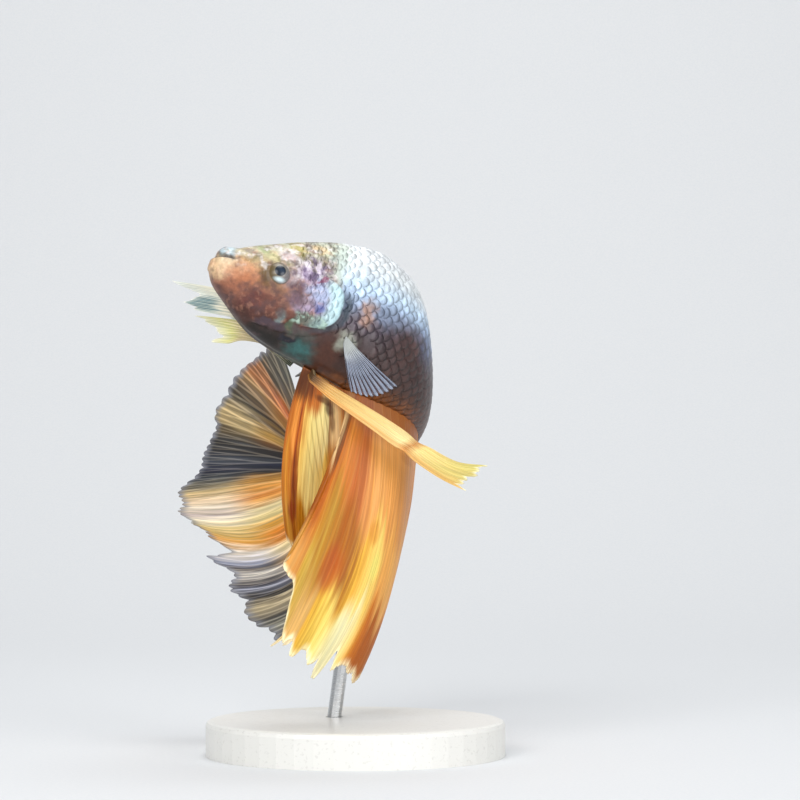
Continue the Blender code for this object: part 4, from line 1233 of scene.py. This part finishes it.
# For each fin: how its streaks run, its bands of colour, the colour and depth of its webs and how far they
# clear, the colour and strength of its rays, the colour of its tips and where they start, and how strong the
# fine streaks are.
FIN_FINISHES = {
    "tail": ((80, 1.8, TAIL_FIN_RAYS), tail_colour, (50, 48, 52), 0.42, 0.1, (255, 242, 220), 0.14,
             (150, 152, 160), 0.93, 0.26),
    "anal_front": ((110, 2.2, ANAL_FRONT_RAYS), anal_front_colour, (150, 76, 24), 0.1, 0.0,
                   (255, 226, 150), 0.05, (254, 244, 206), 0.955, 0.12),
    "anal_rear": ((60, 2.0, ANAL_REAR_RAYS), anal_rear_colour, (150, 84, 40), 0.3, 0.0, (255, 226, 170), 0.15,
                  (252, 240, 206), 0.9, 0.2),
    "pelvic_left": ((26, 2.6, PELVIC_RAYS), left_pelvic_colour, (206, 140, 66), 0.25, 0.0,
                    (255, 242, 200), 0.25, (252, 246, 214), 0.97, 0.14),
    "pelvic_right": ((26, 2.6, PELVIC_RAYS), right_pelvic_colour, (150, 170, 160), 0.22, 0.1,
                     (255, 250, 230), 0.5, (252, 250, 240), 0.985, 0.14),
    "clear": ((40, 2.0, PECTORAL_RAYS, 0.5, 1.1), clear_colour, (80, 84, 100), 0.4, 0.8,
              (206, 212, 222), 0.45, (176, 184, 200), 0.93, 0.2),
}


def fin_material(name, streaks):
    """A fin's look: bands of colour with feathered edges, dark thin webs, pale crisp rays and paler tips."""
    run, base, web, web_depth, clear, ray, ray_depth, tip, tip_from, streak = FIN_FINISHES[name]
    made, wire = new_material(name + "_fin_silk", Specular_IOR_Level=0.3, Coat_Weight=0.06,
                              Coat_Roughness=0.3)
    fin_paint = FinPaint(wire, streaks, *run)
    fine, lines, v = fin_paint.fine, fin_paint.lines, fin_paint.v
    between_rays = (1.0 - lines) * v.step(0.05, 0.35)
    webs = between_rays * fin_paint.broad.step(0.2, 0.8, 0.5, 1.0) * web_depth
    if name == "tail":  # its bright middle lobes are opaque
        opaque = fin_paint.wavy_u(0.04).step(0.39, 0.43) * fin_paint.u.step(0.76, 0.72)
        webs = webs * (1.0 - opaque * 0.75)
    fringe = v.step(tip_from, 1.0) * fine.step(0.2, 0.9, 0.55, 1.0)
    colour = wire.layered(base(fin_paint), (webs, web), (lines * ray_depth, ray), (fringe, tip))
    colour = wire.shaded(colour, fine.step(0.0, 1.0, 1 - streak, 1 + 0.6 * streak))
    wire.feed(Base_Color=wire.deeper(colour, FIN_DEPTH), Roughness=fine.step(0.0, 1.0, 0.48, 0.36),
              Normal=wire.bumped(fine, 0.25, 0.00008))
    if clear:
        wire.feed(Alpha=1.0 - between_rays * clear)
    return made


def steel_material():
    """Fine brushed steel: long scratches round the bar."""
    made, wire = new_material("brushed_rod", Base_Color=paint(196, 198, 200), Metallic=1.0)
    brush = wire.noise(wire.mapped(wire.object_place(), (300, 300, 14000)), 1.0, 3.0)
    wire.feed(Roughness=brush.step(0.2, 0.8, 0.2, 0.38), Normal=wire.bumped(brush, 0.15, 0.00002))
    return made


def base_material():
    """Satin off-white, very slightly speckled, with faint handling marks."""
    made, wire = new_material("satin_base", Coat_Weight=0.15, Coat_Roughness=0.25)
    place = wire.object_place()
    flecks, marks = wire.noise(place, 2600.0), wire.noise(place, 90.0, 4.0)
    wire.feed(Base_Color=wire.mix(flecks.step(0.58, 0.7, 0.0, 0.35), (226, 225, 220), (196, 194, 188)),
              Roughness=marks.step(0.3, 0.7, 0.34, 0.48), Normal=wire.bumped(flecks, 0.1, 0.00003))
    return made


def studio_material():
    made, wire = new_material("pale_paper", Roughness=0.9)
    fibre = wire.noise(wire.object_place(), 2500.0, 3.0)
    wire.feed(Base_Color=wire.mix(fibre.step(0.3, 0.7), (216, 218, 220), (220, 221, 222)))
    return made


def stand(base_look, rod_look):
    for node, look in (("stand_base", base_look), ("stand_rod", rod_look)):
        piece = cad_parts[node]
        piece.data.materials.clear()
        piece.data.materials.append(look)


# ---------------------------------------------------------------- studio

def backdrop(look):
    """A pale floor that curves up into a wall behind the model."""
    front, wall, bend, top, half = -700.0, 420.0, 260.0, 900.0, 900.0

    def profile(t):
        flat = wall - bend - front
        curved = bend * math.pi / 2
        run = t * (flat + curved + top - bend)
        if run < flat:
            return front + run, 0.0
        if run < flat + curved:
            turn = (run - flat) / bend
            return wall - bend + bend * math.sin(turn), bend * (1 - math.cos(turn))
        return wall, bend + run - flat - curved

    data = bmesh.new()
    bmesh.ops.create_grid(data, x_segments=4, y_segments=60, size=0.5)
    for vertex in data.verts:
        vertex.co = Vector((vertex.co.x * 2 * half, *profile(vertex.co.y + 0.5)))
    floor = mesh_object("studio_floor", data, look)


MODEL_MIDDLE, WALL = (0.0, -0.005, 0.04), (0.0, 0.42, 0.1)
# Round soft lamps: the place of each, what it points at, its size, its power and its colour.
LAMPS = {
    "key_light": ((-0.16, -0.36, 0.24), MODEL_MIDDLE, 0.3, 1.34, (1, 1, 1)),
    "top_light": ((0.03, 0.02, 0.36), MODEL_MIDDLE, 0.2, 0.32, (0.94, 0.97, 1.0)),
    "fill_light": ((0.3, -0.34, 0.12), MODEL_MIDDLE, 0.3, 1.05, (1, 1, 1)),
    "wall_light": ((0.0, 0.1, 0.5), WALL, 0.4, 1.0, (1, 1, 1)),
}
AIR_COLOUR, AIR_LIGHT = (0.9, 0.92, 0.95, 1), 0.3
CAMERA_PLACE = (0.00505, -0.361, 0.04026)
CAMERA_WIDTH, CAMERA_LENS, CAMERA_NEAR = 36, 143.2, 0.01


def lights():
    for name, (place, target, size, power, colour) in LAMPS.items():
        lamp = bpy.data.lights.new(name, "AREA")
        lamp.shape = "DISK"
        lamp.size = size
        lamp.energy = power
        lamp.color = colour
        holder = placed(name, lamp)
        holder.location = place
        holder.rotation_euler = (Vector(target) - Vector(place)).to_track_quat("-Z", "Y").to_euler()
    world = bpy.data.worlds.new("studio_air")
    world.use_nodes = True
    air = world.node_tree.nodes["Background"].inputs
    air["Color"].default_value = AIR_COLOUR
    air["Strength"].default_value = AIR_LIGHT
    bpy.context.scene.world = world
    bpy.context.scene.view_settings.view_transform = "Standard"


def camera():
    seen = bpy.data.cameras.new("camera")
    seen.sensor_width = CAMERA_WIDTH
    seen.lens = CAMERA_LENS
    seen.clip_start = CAMERA_NEAR
    holder = placed("camera", seen)
    holder.location = CAMERA_PLACE
    holder.rotation_euler = (math.radians(90), 0, 0)
    bpy.context.scene.camera = holder


def build():
    group = markings()
    streaks = silk()
    bare_skin(skin_material(group))
    scales(scale_material(group))
    glass = eye_material()
    for side, name in SIDES:
        eye(side, name, glass)
    fins({name: fin_material(name, streaks) for name in FIN_FINISHES})
    stand(base_material(), steel_material())
    backdrop(studio_material())
    lights()
    camera()


build()
